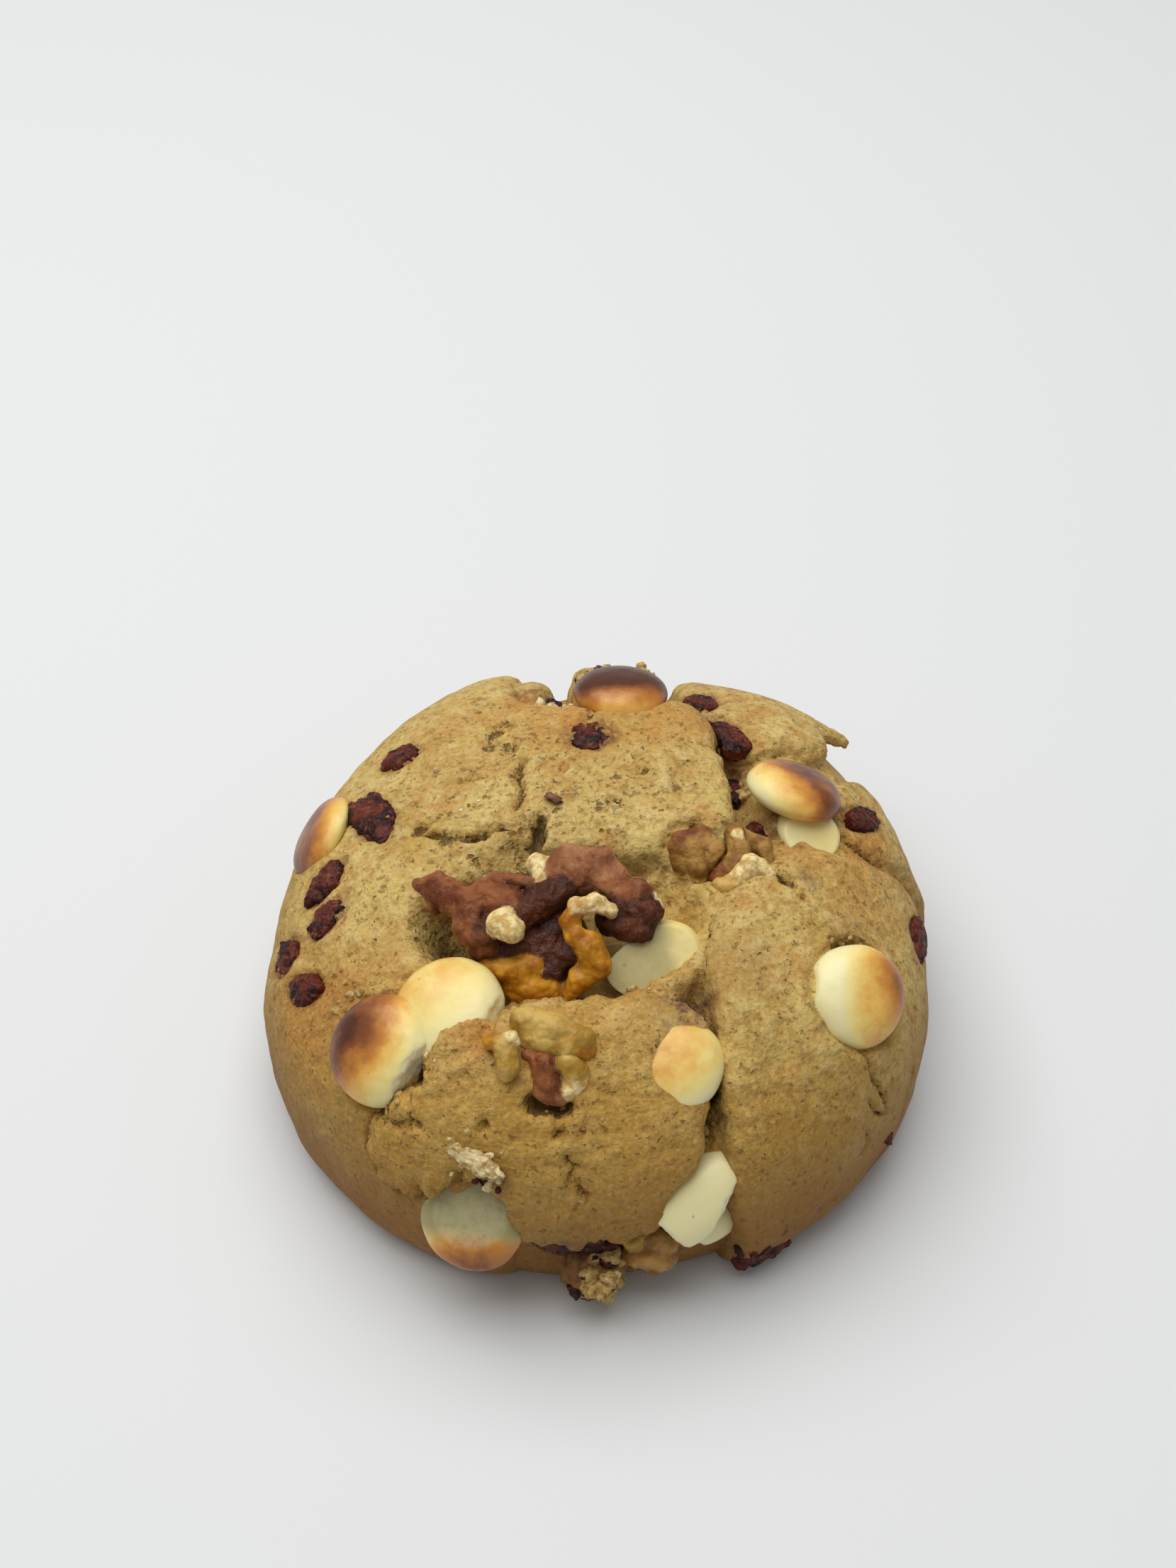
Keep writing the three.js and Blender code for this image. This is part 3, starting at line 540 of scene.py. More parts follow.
# Golden browning that also paints shade: darker toward the front, where less light falls, and in the
# kernel's shadow at (10, -12).
GOLDEN_AND_SHADE = [
    (10, -12, 5, 1.0), (5, 20, 6, 0.8), (-23, -1, 5, 0.6), (-34, -27, 10, 1.3), (-44, -22, 8, 0.7),
    (-24, -44, 9, 0.7), (-46, -2, 8, 0.5), (-4, -43, 17, 1.1), (30, -40, 10, 0.4),
    (25, -48, 16, 0.8), (34, -18, 10, 0.3), (5, -60, 12, 0.5), (-30, -50, 14, 0.7),
]
STAINS = [
    (10, -28, 3.5, 0.7), (13, -26.4, 2.8, 1.0), (-34, -24, 4.5, 0.45), (-4, -58, 5, 0.6),
    (27.5, -6.5, 1.6, 0.8), (19, -20, 4, 0.35), (12, -60, 8, 0.4), (-8.5, 0.8, 1.6, 0.6),
    (33, -14, 2.6, 0.6), (-11.5, -47, 1.6, 0.8), (15.5, 21, 3, 0.5),
]
PORE_CLOUD = dict(share=0.3, size=9, seed=3)
# How torn edges waver, and which way: size, reach and seeds across and back.
TEAR = dict(size=1.6, reach=0.45, seeds=(5, 8))
# The groove round a seat, its filling where the lip swelled over it, and that lip outside it.
SEAT_GROOVE = dict(at=0.1, width=0.55, depth=1.1, filled=0.8)
SEAT_LIP = dict(at=1.3, width=0.8, height=0.5, size=4, seed=21)
FRUIT_GROOVE = dict(at=0.1, width=0.45, depth=0.5)
# Relief all over, and the finer relief of torn crumb: height, size and seed.
SWELL = dict(height=0.4, size=9, seed=41)
TORN_CRUMB = dict(height=0.35, size=2.6, seed=47)
RELIEF_FADE = (0.5, 6)  # heights over the table between which the relief grows to its full size
ROUGH_DROP, SHADE_DROP = 4, 5  # how far under the lobes crumb is rough, and where the painted shade under them is darkest
BLEED_REACH = 0.8
# Pit depth whose painted shade is darkest, and the share of a larger hollow's depth painted as shade.
PIT_FULL_SHADE = 2.2
SUNK_SHADE = 0.2


def seat_band(gap, row):
    """1 in the middle of a band along a seat's edge: exp(-((gap - at) / width)^2)."""
    return np.exp(-(((gap - row["at"]) / row["width"]) ** 2))


places = crowd_on_steps(sheet_places(SHEET))
flat_places = places.reshape(-1, 2)
lift, push, down = crust(flat_places)
tear = np.stack([layered(flat_places, TEAR["size"], seed, 2) for seed in TEAR["seeds"]], -1)
torn_places = flat_places + TEAR["reach"] * tear
pit = dents(PITS, torn_places) + grooves(CRACKS, torn_places)
lift -= pit
sunk = dents(SUNK, torn_places)
lift -= sunk
seat_gap = oval_distance(SEATS, flat_places)
lip = 0.5 + 0.5 * noise(flat_places, SEAT_LIP["size"], SEAT_LIP["seed"])
lift -= seat_band(seat_gap, SEAT_GROOVE) * (SEAT_GROOVE["depth"] - SEAT_GROOVE["filled"] * lip)
lift += SEAT_LIP["height"] * lip * seat_band(seat_gap, SEAT_LIP)
fruit_gap = oval_distance(FRUIT_SEATS, torn_places)
lift -= FRUIT_GROOVE["depth"] * seat_band(fruit_gap, FRUIT_GROOVE)
base = skin(flat_places + push, lift)[0]
points = base.reshape(SHEET + 1, SHEET + 1, 3)
normals = -grid_normals(points)
rough = np.clip(spots(ROUGH_ZONES, flat_places) + np.clip(down / ROUGH_DROP, 0, 1), 0, 1)
open_crumb = PORE_CLOUD["share"] * noise(flat_places, PORE_CLOUD["size"], PORE_CLOUD["seed"])
porous = np.clip(spots(PORE_ZONES, flat_places) + open_crumb, 0.05, 1)
swell = SWELL["height"] * layered(base, SWELL["size"], SWELL["seed"], 3)
torn_swell = TORN_CRUMB["height"] * layered(base, TORN_CRUMB["size"], TORN_CRUMB["seed"], 3, 0.6)
relief = (swell + rough * torn_swell) * smooth_step(points[..., 2].ravel(), *RELIEF_FADE)
points = points + normals * relief.reshape(SHEET + 1, -1, 1)
edge = np.zeros((SHEET + 1, SHEET + 1), bool)
edge[[0, -1]] = edge[:, [0, -1]] = True
points[edge, 2] = 0
points[..., 2] = np.maximum(points[..., 2], 0)
dough_points, dough_normals = points.reshape(-1, 3), normals.reshape(-1, 3)

# The underside is a fan from the sheet's edge to one vertex in the middle.
order = np.arange((SHEET + 1) ** 2).reshape(SHEET + 1, -1)
rim = np.concatenate([order[0, :-1], order[:-1, -1], order[-1, :0:-1], order[:0:-1, 0]])
middle = (SHEET + 1) ** 2
underside = np.stack([np.roll(rim, -1), rim, np.full(len(rim), middle)], -1)
dough = add_piece(
    "dough_crust",
    np.vstack([points.reshape(-1, 3), [*MIDDLE, 0]]),
    [grid_faces(SHEET + 1, SHEET + 1), underside],
)
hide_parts("dough")
dough_numbers = {
    "toast": spots(TOAST, flat_places),
    "stain": spots(STAINS, flat_places),
    "bleed": np.exp(-((np.clip(fruit_gap, 0, None) / BLEED_REACH) ** 2)),
    # golden browning, with painted shade in it too
    "golden": spots(GOLDEN_AND_SHADE, flat_places),
    # painted shade under the lobes' edges, from how far below them the crust lies
    "down": down / SHADE_DROP,
    "porous": porous,
    # painted shade from the depth of pits and cracks, and a little from the larger hollows
    "pit": (pit + SUNK_SHADE * sunk) / PIT_FULL_SHADE,
}
for name, values in dough_numbers.items():
    set_attribute(dough, name, np.append(np.clip(values, 0, 1), 0))


def colour(red, green, blue):
    """A colour given in display values from 0 to 255, as the linear values that shaders take."""
    c = np.array([red, green, blue]) / 255
    return (*np.where(c <= 0.04045, c / 12.92, ((c + 0.055) / 1.055) ** 2.4), 1)


def add_node(tree, kind, inputs=None, **settings):
    """A shader node. An input given as a socket is linked, and anything else is set on it."""
    node = tree.nodes.new("ShaderNode" + kind)
    for key, value in settings.items():
        setattr(node, key, value)
    for key, value in (inputs or {}).items():
        if isinstance(value, bpy.types.NodeSocket):
            tree.links.new(value, node.inputs[key])
        else:
            node.inputs[key].default_value = value
    return node


def new_material(name, **shader_inputs):
    """A material with its tree, its shader and the object's own coordinates."""
    material = bpy.data.materials.new(name)
    material.use_nodes = True
    tree = material.node_tree
    shader = tree.nodes["Principled BSDF"]
    for key, value in shader_inputs.items():
        shader.inputs[key.replace("_", " ")].default_value = value
    where = add_node(tree, "TexCoord").outputs["Object"]
    return material, tree, shader, where


def blend_colour(tree, factor, a, b):
    """Mixes two colours by a factor."""
    node = add_node(tree, "Mix", data_type="RGBA")
    for index, value in ((0, factor), (6, a), (7, b)):
        if isinstance(value, bpy.types.NodeSocket):
            tree.links.new(value, node.inputs[index])
        else:
            node.inputs[index].default_value = value
    return node.outputs[2]


def math(tree, operation, a, b=0.0):
    """A Math node's result."""
    return add_node(tree, "Math", {0: a, 1: b}, operation=operation).outputs[0]


def span(tree, value, low, high, to_low=0.0, to_high=1.0):
    """A value's span from low to high, eased and brought to another span."""
    node = add_node(
        tree, "MapRange",
        {"Value": value, "From Min": low, "From Max": high, "To Min": to_low, "To Max": to_high},
        interpolation_type="SMOOTHSTEP",
    )
    return node.outputs["Result"]


def cloud(tree, where, size, detail=3, rough=0.55):
    """Noise of a size in millimetres."""
    node = add_node(
        tree, "TexNoise", {"Vector": where, "Scale": 1 / (size * MM), "Detail": detail, "Roughness": rough}
    )
    return node.outputs["Fac"]


def attribute(tree, name):
    """A number that the mesh carries."""
    return add_node(tree, "Attribute", attribute_name=name).outputs["Fac"]


def dots(tree, where, size):
    """Scattered points about a size in millimetres apart, as a node: the distance to the nearest,
    over that size, and a random colour for each."""
    return add_node(tree, "TexVoronoi", {"Vector": where, "Scale": 1 / (size * MM)})


def vector_math(tree, operation, a, b):
    """A Vector Math node's result."""
    return add_node(tree, "VectorMath", {0: a, 1: b}, operation=operation).outputs[0]


def bubbles(tree, where, size, fill, deep):
    """Broken bubbles about a size in millimetres apart, of random size: 1 inside and 0 outside.
    `fill` says how much of each cell the largest takes, and `deep` how soft the edge is."""
    cells = dots(tree, where, size)
    kind = add_node(tree, "SeparateColor", {0: cells.outputs["Color"]}).outputs[0]
    reach = math(tree, "MULTIPLY", math(tree, "POWER", kind, 2.0), fill)
    inside = math(tree, "SUBTRACT", reach, cells.outputs["Distance"])
    return span(tree, inside, 0.0, deep)


def crumb_finish():
    """Baked crumb: golden tan mottled with olive and orange, toasted on ridges, browner at the foot,
    specked with spice, with painted shade in pores, pits, cracks, low places and the kernel's shadow."""
    material, tree, shader, where = new_material("baked_crumb", Roughness=0.72, IOR=1.42)
    shader.inputs["Specular IOR Level"].default_value = 0.3
    # places bent by noise, so that pores and spice aren't round
    warp = add_node(tree, "TexNoise", {"Vector": where, "Scale": 1 / (0.9 * MM), "Detail": 4})
    warp = vector_math(tree, "SUBTRACT", warp.outputs["Color"], (0.5, 0.5, 0.5))
    bent = vector_math(tree, "ADD", where, vector_math(tree, "MULTIPLY", warp, (1.7 * MM,) * 3))
    # mottling, from large to fine
    mottle = span(tree, cloud(tree, where, 9, 4, 0.6), 0.36, 0.64)
    tan = blend_colour(tree, mottle, colour(205, 178, 105), colour(185, 152, 82))
    warm = span(tree, cloud(tree, vector_math(tree, "ADD", where, (0.1, 0, 0)), 5, 3), 0.47, 0.66, 0, 0.6)
    tan = blend_colour(tree, warm, tan, colour(192, 142, 74))
    pale = span(tree, cloud(tree, where, 2.6, 4, 0.6), 0.47, 0.66, 0, 0.75)
    tan = blend_colour(tree, pale, tan, colour(212, 188, 122))
    # golden places, which also carry painted shade, toasted places, the brown foot, grain, painted shade
    # where the crust lies low under the lobes, and stains beside fruit
    # golden browning that also paints shade toward the front and in the kernel's shadow
    golden = math(tree, "MULTIPLY", attribute(tree, "golden"), 0.7)
    tan = blend_colour(tree, golden, tan, colour(180, 134, 50))
    patch = math(tree, "MULTIPLY", attribute(tree, "toast"), span(tree, cloud(tree, where, 4.5), 0.2, 0.6))
    tan = blend_colour(tree, math(tree, "MULTIPLY", patch, 0.8), tan, colour(190, 132, 60))
    grain = cloud(tree, where, 0.55, 3, 0.6)
    tan = blend_colour(tree, span(tree, grain, 0.52, 0.7, 0, 0.3), tan, colour(222, 200, 142))
    height = add_node(tree, "SeparateXYZ", {0: where}).outputs["Z"]
    tan = blend_colour(tree, span(tree, height, 0.03, 0.006, 0.0, 0.9), tan, colour(136, 90, 42))
    tan = blend_colour(tree, span(tree, grain, 0.5, 0.34, 0, 0.35), tan, colour(140, 100, 48))
    clump = cloud(tree, where, 1.5, 4, 0.6)
    tan = blend_colour(tree, span(tree, clump, 0.5, 0.34, 0, 0.6), tan, colour(156, 114, 54))
    # painted shade where the crust lies low under the lobes' edges
    down = attribute(tree, "down")
    tan = blend_colour(tree, span(tree, down, 0.15, 0.9, 0, 0.7), tan, colour(150, 122, 66))
    stain = math(tree, "MULTIPLY", attribute(tree, "stain"), span(tree, cloud(tree, where, 1.5), 0.3, 0.7))
    tan = blend_colour(tree, stain, tan, colour(104, 66, 54))
    bleed = math(tree, "MULTIPLY", attribute(tree, "bleed"), span(tree, cloud(tree, where, 1.2), 0.25, 0.65))
    tan = blend_colour(tree, math(tree, "MULTIPLY", bleed, 0.7), tan, colour(112, 66, 44))
    # open pores in two sizes, crowded where the crumb is porous and clustered everywhere, with painted shade
    # in them
    crowd = span(tree, cloud(tree, where, 4, 3), 0.38, 0.62, 0.15, 1.0)
    fill = math(tree, "MULTIPLY", math(tree, "ADD", attribute(tree, "porous"), 0.25), crowd)
    wide = bubbles(tree, bent, 2.1, math(tree, "MULTIPLY", fill, 0.56), 0.2)
    middle = bubbles(tree, bent, 1.15, math(tree, "MULTIPLY", fill, 0.64), 0.22)
    fine = math(tree, "ADD", cloud(tree, where, 0.95, 3, 0.6), math(tree, "MULTIPLY", fill, 0.1))
    fine = span(tree, fine, 0.63, 0.72)
    wide = math(tree, "MAXIMUM", wide, middle)
    pore_shade = math(tree, "MAXIMUM", wide, math(tree, "MULTIPLY", fine, 0.65))
    # painted shade in the pores, since the bump casts none
    tan = blend_colour(tree, math(tree, "MULTIPLY", pore_shade, 0.8), tan, colour(104, 70, 28))
    # painted shade in torn pits, cracks and hollows, with a ragged edge, and specks of spice
    ragged = math(tree, "MULTIPLY", math(tree, "SUBTRACT", cloud(tree, where, 0.9, 4, 0.7), 0.5), 2.2)
    torn = span(tree, math(tree, "ADD", attribute(tree, "pit"), ragged), 0.3, 0.75, 0, 0.75)
    tan = blend_colour(tree, torn, tan, colour(80, 54, 26))
    spice = dots(tree, bent, 1.7)
    kind = add_node(tree, "SeparateColor", {0: spice.outputs["Color"]})
    speck = span(tree, spice.outputs["Distance"], 0.17, 0.08)
    speck = math(tree, "MULTIPLY", speck, span(tree, kind.outputs[1], 0.35, 0.6, 0, 0.8))
    tan = blend_colour(tree, speck, tan, colour(140, 84, 36))
    tree.links.new(tan, shader.inputs["Base Color"])
    relief = math(tree, "MULTIPLY", cloud(tree, where, 2.6, 3, 0.5), 3.4)
    relief = math(tree, "ADD", relief, math(tree, "MULTIPLY", clump, 0.8))
    relief = math(tree, "ADD", relief, math(tree, "MULTIPLY", grain, 0.25))
    relief = math(tree, "SUBTRACT", relief, math(tree, "MULTIPLY", wide, 1.1))
    relief = math(tree, "SUBTRACT", relief, math(tree, "MULTIPLY", fine, 0.35))
    relief = math(tree, "SUBTRACT", relief, math(tree, "MULTIPLY", torn, 1.3))
    bump = add_node(tree, "Bump", {"Height": relief, "Strength": 1.0, "Distance": 0.3 * MM})
    tree.links.new(bump.outputs[0], shader.inputs["Normal"])
    return material


dough.data.materials.append(crumb_finish())

# ---- White baking chips ----
# Buttons of cream-coloured confectionery with a domed top. They kept their shape in the oven and
# browned where they stood out of the dough, and a few broke when the dough was mixed.


def stand(at, lift, lean=(0, 0, 0), turn=0):
    """Where a piece stands on the dough: its own Z goes along the way out of the mound, changed by
    lean, and its own X is turned by `turn` degrees from across. Returns its place and its axes."""
    point, up = skin(np.array(at, float), lift)
    up = up + np.array(lean)
    up /= np.linalg.norm(up)
    heading = np.array([np.cos(np.radians(turn)), np.sin(np.radians(turn)), 0])
    side = np.cross(up, heading)
    side /= np.linalg.norm(side)
    return point, np.stack([np.cross(side, up), side, up])


def closed_grid(rows, columns):
    """Directions over a sphere: latitude from the bottom pole to the top one, and longitude."""
    latitude = np.linspace(-np.pi / 2, np.pi / 2, rows)[:, None]
    longitude = np.linspace(0, 2 * np.pi, columns, endpoint=False)[None, :]
    return latitude, longitude


def close_poles(points):
    """A closed grid's points and faces, with one vertex at each pole."""
    rows, columns = points.shape[:2]
    inner = points[1:-1].reshape(-1, 3)
    faces = grid_faces(rows - 2, columns, wrap=True)
    bottom, top = len(inner), len(inner) + 1
    ring = np.arange(columns)
    after = (ring + 1) % columns
    last = (rows - 3) * columns
    caps = np.concatenate(
        [
            np.stack([after, ring, np.full(columns, bottom)], -1),
            np.stack([last + ring, last + after, np.full(columns, top)], -1),
        ]
    )
    return np.vstack([inner, points[0, :1], points[-1, :1]]), [faces, caps]


# A whole chip. `thin` is its size across over that along. It is browned by `toast`, most towards
# the side at `toward` degrees, and by `even` all over. It is `dull` on the side that `dull_way`
# leads to. Its cuts are broken or flattened sides: way out, distance from the middle, how torn.
CHIP = dict(
    radius=6.6, dome=3.6, base=1.8, thin=1, lean=(0, 0, 0), turn=0,
    toast=0, toward=0, even=0.15, dull=0, dull_way=(0, 1), cuts=[],
)
CHIPS = {
    "chip_left_toasted": dict(
        at=(-26.7, -30.1), lift=0.6, radius=6.9, toast=0.85, toward=150, even=0.38,
        cuts=[((0.8, -0.55, 0.1), 5.1, 1)],
    ),
    "chip_left_pale": dict(
        at=(-18.2, -26.2), lift=-1.2, lean=(0.05, 0, 0), radius=7, toast=0.3, toward=125, even=0.15,
        cuts=[((0.9, -0.4, 0.2), 5.6, 0.8)],
    ),
    "chip_right": dict(
        at=(33.2, -22), lift=0.8, lean=(-0.25, -0.15, 0), radius=6.5, toast=0.75, toward=0, even=0.08,
        cuts=[((-1, 0.15, 0.1), 5.9, 0)],
    ),
    "chip_back_right": dict(
        at=(26.9, 8.8), lift=0.3, lean=(0.05, 0.32, 0), radius=6.6, dome=3.2, base=2.4,
        toast=0.78, toward=25, even=0.7,
    ),
    "chip_rear": dict(
        at=(3.6, 27.3), lift=-0.3, lean=(0, 0.1, 0), dome=3, toast=1.0, toward=90, even=0.98,
    ),
    "chip_hollow": dict(
        at=(7.7, -19), lift=-3.3, lean=(0.12, -0.1, 0), turn=32, base=2.8, thin=0.7,
        toast=0.12, even=1, dull=0.7, dull_way=(-1, 0.3),
        cuts=[((-0.25, -0.3, 0.9), 1.3, 0.1), ((-0.3, 1, 0.1), 3.6, 0.5)],
    ),
    "chip_front_low": dict(
        at=(-18.3, -53.5), lift=0.6, lean=(0.1, 0.2, 0.6), dome=2.4,
        toast=0.9, toward=-75, even=0.05, dull=1,
        cuts=[((0, 0.1, 1), 1.7, 0.2), ((-0.6, 0.7, 0), 5.2, 1), ((0.7, 0.6, 0), 5.8, 0.8)],
    ),
    "chip_crack_half": dict(
        at=(15.4, -52.6), lift=-0.4, lean=(-0.2, 0.1, 0.5), turn=62, radius=7.4, dome=3.2,
        base=2.8, thin=0.6, cuts=[((-1, 0, 0.1), 5.0, 1), ((0.3, -1, 0.3), 3.3, 0.8)],
    ),
    "chip_crack_splinter": dict(
        at=(19.6, -59), lift=-1.6, lean=(0, 0.1, 0.5), turn=20, radius=4.8, dome=1.6,
        base=1.4, thin=0.62, cuts=[((-0.6, -0.6, 0.3), 2.4, 1)],
    ),
    "chip_front_lobe": dict(
        at=(10.1, -34.4), lift=-1.0, lean=(-0.16, 0.05, 0), radius=6.1, dome=3,
        toast=0.42, toward=120, even=0.5,
    ),
    "chip_half_sunk": dict(
        at=(29.8, 4.0), lift=-2.0, turn=30, radius=4.4, dome=2.6, toast=0.1, even=1,
        cuts=[((-0.3, -0.4, 0.85), 1.8, 0.1)],
    ),
    "chip_left_rim": dict(
        at=(-40.9, 8.4), lift=-1.8, lean=(-0.4, 0, 0), radius=6.1, dome=2.6,
        toast=0.8, toward=150, even=1.0,
    ),
}
CHIP_ROWS, CHIP_COLUMNS = 56, 96
CHIP_BELLY = 0.75  # 1 is an ellipse, and less is fuller at the edge
CHIP_SEED = 100
CHIP_WAVES = [(7, 0.03), (2.5, 0.014)]  # size and share of each unevenness
CUT_WAVES = dict(size=2.2, height=0.35, fine_size=0.6, fine_height=0.12)  # roughness of a tear
CUT_EDGE = 0.35  # depth beyond a cut at which it is fully torn
CUT_PRESS = 0.92  # of what lies beyond a cut, the share that is pressed back to it
DULL_EDGE = (-3.2, -0.8)  # places along dull_way where dullness starts and is full
DULL_WAVER = dict(reach=0.6, size=2.5)


def chip_shape(row, seed):
    """A button: at latitude t its radius is cos(t)^belly and its height sin(t), with a higher dome
    than base and a slow swell round its edge. Beyond each cut it is pressed back to a rough plane.
    Also gives how torn each point is."""
    latitude, longitude = closed_grid(CHIP_ROWS, CHIP_COLUMNS)
    out = row["radius"] * np.cos(latitude) ** CHIP_BELLY
    height = np.where(latitude > 0, row["dome"], row["base"]) * np.sin(latitude)
    shape = np.stack(
        [out * np.cos(longitude), row["thin"] * out * np.sin(longitude), height + 0 * longitude], -1
    )
    uneven = 1
    for k, (size, share) in enumerate(CHIP_WAVES):
        uneven = uneven + share * noise(shape, size, seed + k)
    shape = shape * uneven[..., None]
    torn = np.zeros(shape.shape[:2])
    for way, limit, tear in row["cuts"]:
        way = np.array(way) / np.linalg.norm(way)
        coarse = CUT_WAVES["height"] * layered(shape, CUT_WAVES["size"], seed + 3, 3)
        fine = CUT_WAVES["fine_height"] * noise(shape, CUT_WAVES["fine_size"], seed + 6)
        rough = tear * (coarse + fine)
        beyond = np.clip(shape @ way - limit - rough, 0, None)
        shape = shape - CUT_PRESS * beyond[..., None] * way
        torn = np.maximum(torn, tear * smooth_step(beyond, 0, CUT_EDGE))
    return shape, torn


SIDE_TOAST, HIGH_TOAST = 0.75, 0.35  # browning of the side, and of what stands out
MOST_TOAST = 1.1


def toast_amount(row, shape):
    """How browned each point is: more towards one side of the dome, and on what stands out."""
    toward = np.radians(row["toward"])
    side = (shape[..., 0] * np.cos(toward) + shape[..., 1] * np.sin(toward)) / row["radius"]
    high = np.clip(shape[..., 2] / row["dome"], -1, 1)
    return row["toast"] * np.clip(row["even"] + SIDE_TOAST * side + HIGH_TOAST * high, 0, MOST_TOAST)


# How confectionery browns: how far, and its colour there.
BROWNING = [
    (0.0, (243, 232, 176)), (0.15, (243, 222, 140)), (0.36, (234, 186, 92)),
    (0.55, (206, 138, 58)), (0.8, (138, 78, 36)), (1.0, (84, 44, 24)),
]


def chip_finish():
    """Cream confectionery that browns through yellow and orange, with a satin gloss."""
    material, tree, shader, where = new_material("baking_chip", Roughness=0.38, IOR=1.46)
    shader.inputs["Subsurface Weight"].default_value = 0.25
    shader.inputs["Subsurface Radius"].default_value = (0.004, 0.0025, 0.001)
    shader.inputs["Subsurface Scale"].default_value = 0.4
    toast = attribute(tree, "toast")
    patchy = span(tree, cloud(tree, where, 5, 4, 0.6), 0.3, 0.7, -0.13, 0.13)
    patchy = math(tree, "MULTIPLY", patchy, span(tree, toast, 0.02, 0.3))
    toast = math(tree, "ADD", toast, patchy)
    ramp = add_node(tree, "ValToRGB", {"Fac": toast})
    stops = ramp.color_ramp.elements
    for position, _ in BROWNING[1:-1]:
        stops.new(position)
    for stop, (position, shade) in zip(stops, BROWNING):
        stop.position, stop.color = position, colour(*shade)
    cream = blend_colour(tree, attribute(tree, "dull"), ramp.outputs[0], colour(166, 156, 104))
    fine = cloud(tree, where, 0.9, 4, 0.65)
    white = math(tree, "MULTIPLY", attribute(tree, "torn"), span(tree, fine, 0.3, 0.6, 0.3, 1.0))
    cream = blend_colour(tree, white, cream, colour(250, 243, 208))
    speck = dots(tree, where, 3.2)
    freckle = span(tree, speck.outputs["Distance"], 0.09, 0.04, 0, 0.5)
    cream = blend_colour(tree, freckle, cream, colour(176, 112, 50))
    tree.links.new(cream, shader.inputs["Base Color"])
    tree.links.new(span(tree, attribute(tree, "torn"), 0, 1, 0.34, 0.7), shader.inputs["Roughness"])
    relief = math(tree, "MULTIPLY", fine, span(tree, attribute(tree, "torn"), 0, 1, 0.35, 2.2))
    relief = math(tree, "ADD", relief, math(tree, "MULTIPLY", cloud(tree, where, 3.5, 2), 1.2))
    bump = add_node(tree, "Bump", {"Height": relief, "Strength": 0.6, "Distance": 0.2 * MM})
    tree.links.new(bump.outputs[0], shader.inputs["Normal"])
    return material


chip_material = chip_finish()
for seed, (name, row) in enumerate(CHIPS.items(), CHIP_SEED):
    row = {**CHIP, **row}
    shape, torn = chip_shape(row, seed)
    place, axes = stand(row["at"], row["lift"], row["lean"], row["turn"])
    vertices, faces = close_poles(shape)
    chip = add_piece(name.replace("chip", "baking_chip"), place + vertices @ axes, faces)
    set_attribute(chip, "toast", toast_amount(row, vertices))
    set_attribute(chip, "torn", close_poles(np.repeat(torn[..., None], 3, -1))[0][:, 0])
    waver = DULL_WAVER["reach"] * noise(vertices, DULL_WAVER["size"], seed)
    dull = smooth_step(vertices[:, :2] @ row["dull_way"] + waver, *DULL_EDGE)
    set_attribute(chip, "dull", row["dull"] * dull)
    chip.data.materials.append(chip_material)
    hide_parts(name)

# ---- Walnut ----
# Broken kernels: waxy flesh in deep folds under a thin papery skin. One large piece of a half kernel
# lies in the hollow, and smaller pieces were mixed into the dough and baked in.


def field_surface(field, low, high, cell):
    """The surface where a field over a box is zero, as points and quads: a point in each lattice
    cell that the surface crosses, at the mean of its crossings, and a quad round each crossed
    lattice edge."""
    low = np.asarray(low, float)
    counts = np.ceil((np.asarray(high) - low) / cell).astype(int) + 1
    axes = [low[k] + cell * np.arange(counts[k]) for k in range(3)]
    grid = np.stack(np.meshgrid(*axes, indexing="ij"), -1)
    value = field(grid.reshape(-1, 3)).reshape(counts)
    total = np.zeros([*(counts - 1), 3])
    hits = np.zeros(counts - 1)
    crossed = []
    for axis in range(3):
        near = np.take(value, range(counts[axis] - 1), axis)
        far = np.take(value, range(1, counts[axis]), axis)
        hit = (near < 0) != (far < 0)
        t = np.where(hit, near / np.where(hit, near - far, 1), 0)
        point = np.take(grid, range(counts[axis] - 1), axis).copy()
        point[..., axis] += t * cell
        point *= hit[..., None]
        crossed.append((hit, near < 0))
        b, c = (k for k in range(3) if k != axis)
        for db in (0, 1):
            for dc in (0, 1):
                pick = [slice(None)] * 3
                pick[b] = slice(db, counts[b] - 1 + db)
                pick[c] = slice(dc, counts[c] - 1 + dc)
                total += point[tuple(pick)]
                hits += hit[tuple(pick)]
    used = hits > 0
    number = np.full(used.shape, -1)
    number[used] = np.arange(used.sum())
    points = total[used] / hits[used][:, None]
    quads = []
    for axis in range(3):
        hit, inside = crossed[axis]
        b, c = ((1, 2), (2, 0), (0, 1))[axis]
        at = np.argwhere(hit)
        clear = (at[:, [b, c]] > 0) & (at[:, [b, c]] < counts[[b, c]] - 1)
        at = at[clear.all(1)]
        corners = []
        for db, dc in ((1, 1), (0, 1), (0, 0), (1, 0)):
            cell_at = at.copy()
            cell_at[:, b] -= db
            cell_at[:, c] -= dc
            corners.append(number[tuple(cell_at.T)])
        quad = np.stack(corners, -1)
        outward = inside[tuple(at.T)]
        quads.append(np.where(outward[:, None], quad, quad[:, ::-1]))
    return points, np.concatenate(quads)


def capsule(points, a, b, radius_a, radius_b):
    """Distance outside a rod with round ends whose radius runs from one end's to the other's."""
    a, b = np.asarray(a, float), np.asarray(b, float)
    step = b - a
    t = np.clip(((points - a) @ step) / (step @ step + 1e-9), 0, 1)
    away = np.linalg.norm(points - a - t[:, None] * step, axis=1)
    return away - (radius_a + (radius_b - radius_a) * t)


def soft_union(distances, blend):
    """The least of several distances, with the creases between them filled by about `blend`."""
    stack = np.stack(distances)
    return -blend * np.log(np.exp(-stack / blend).sum(0) + 1e-300)


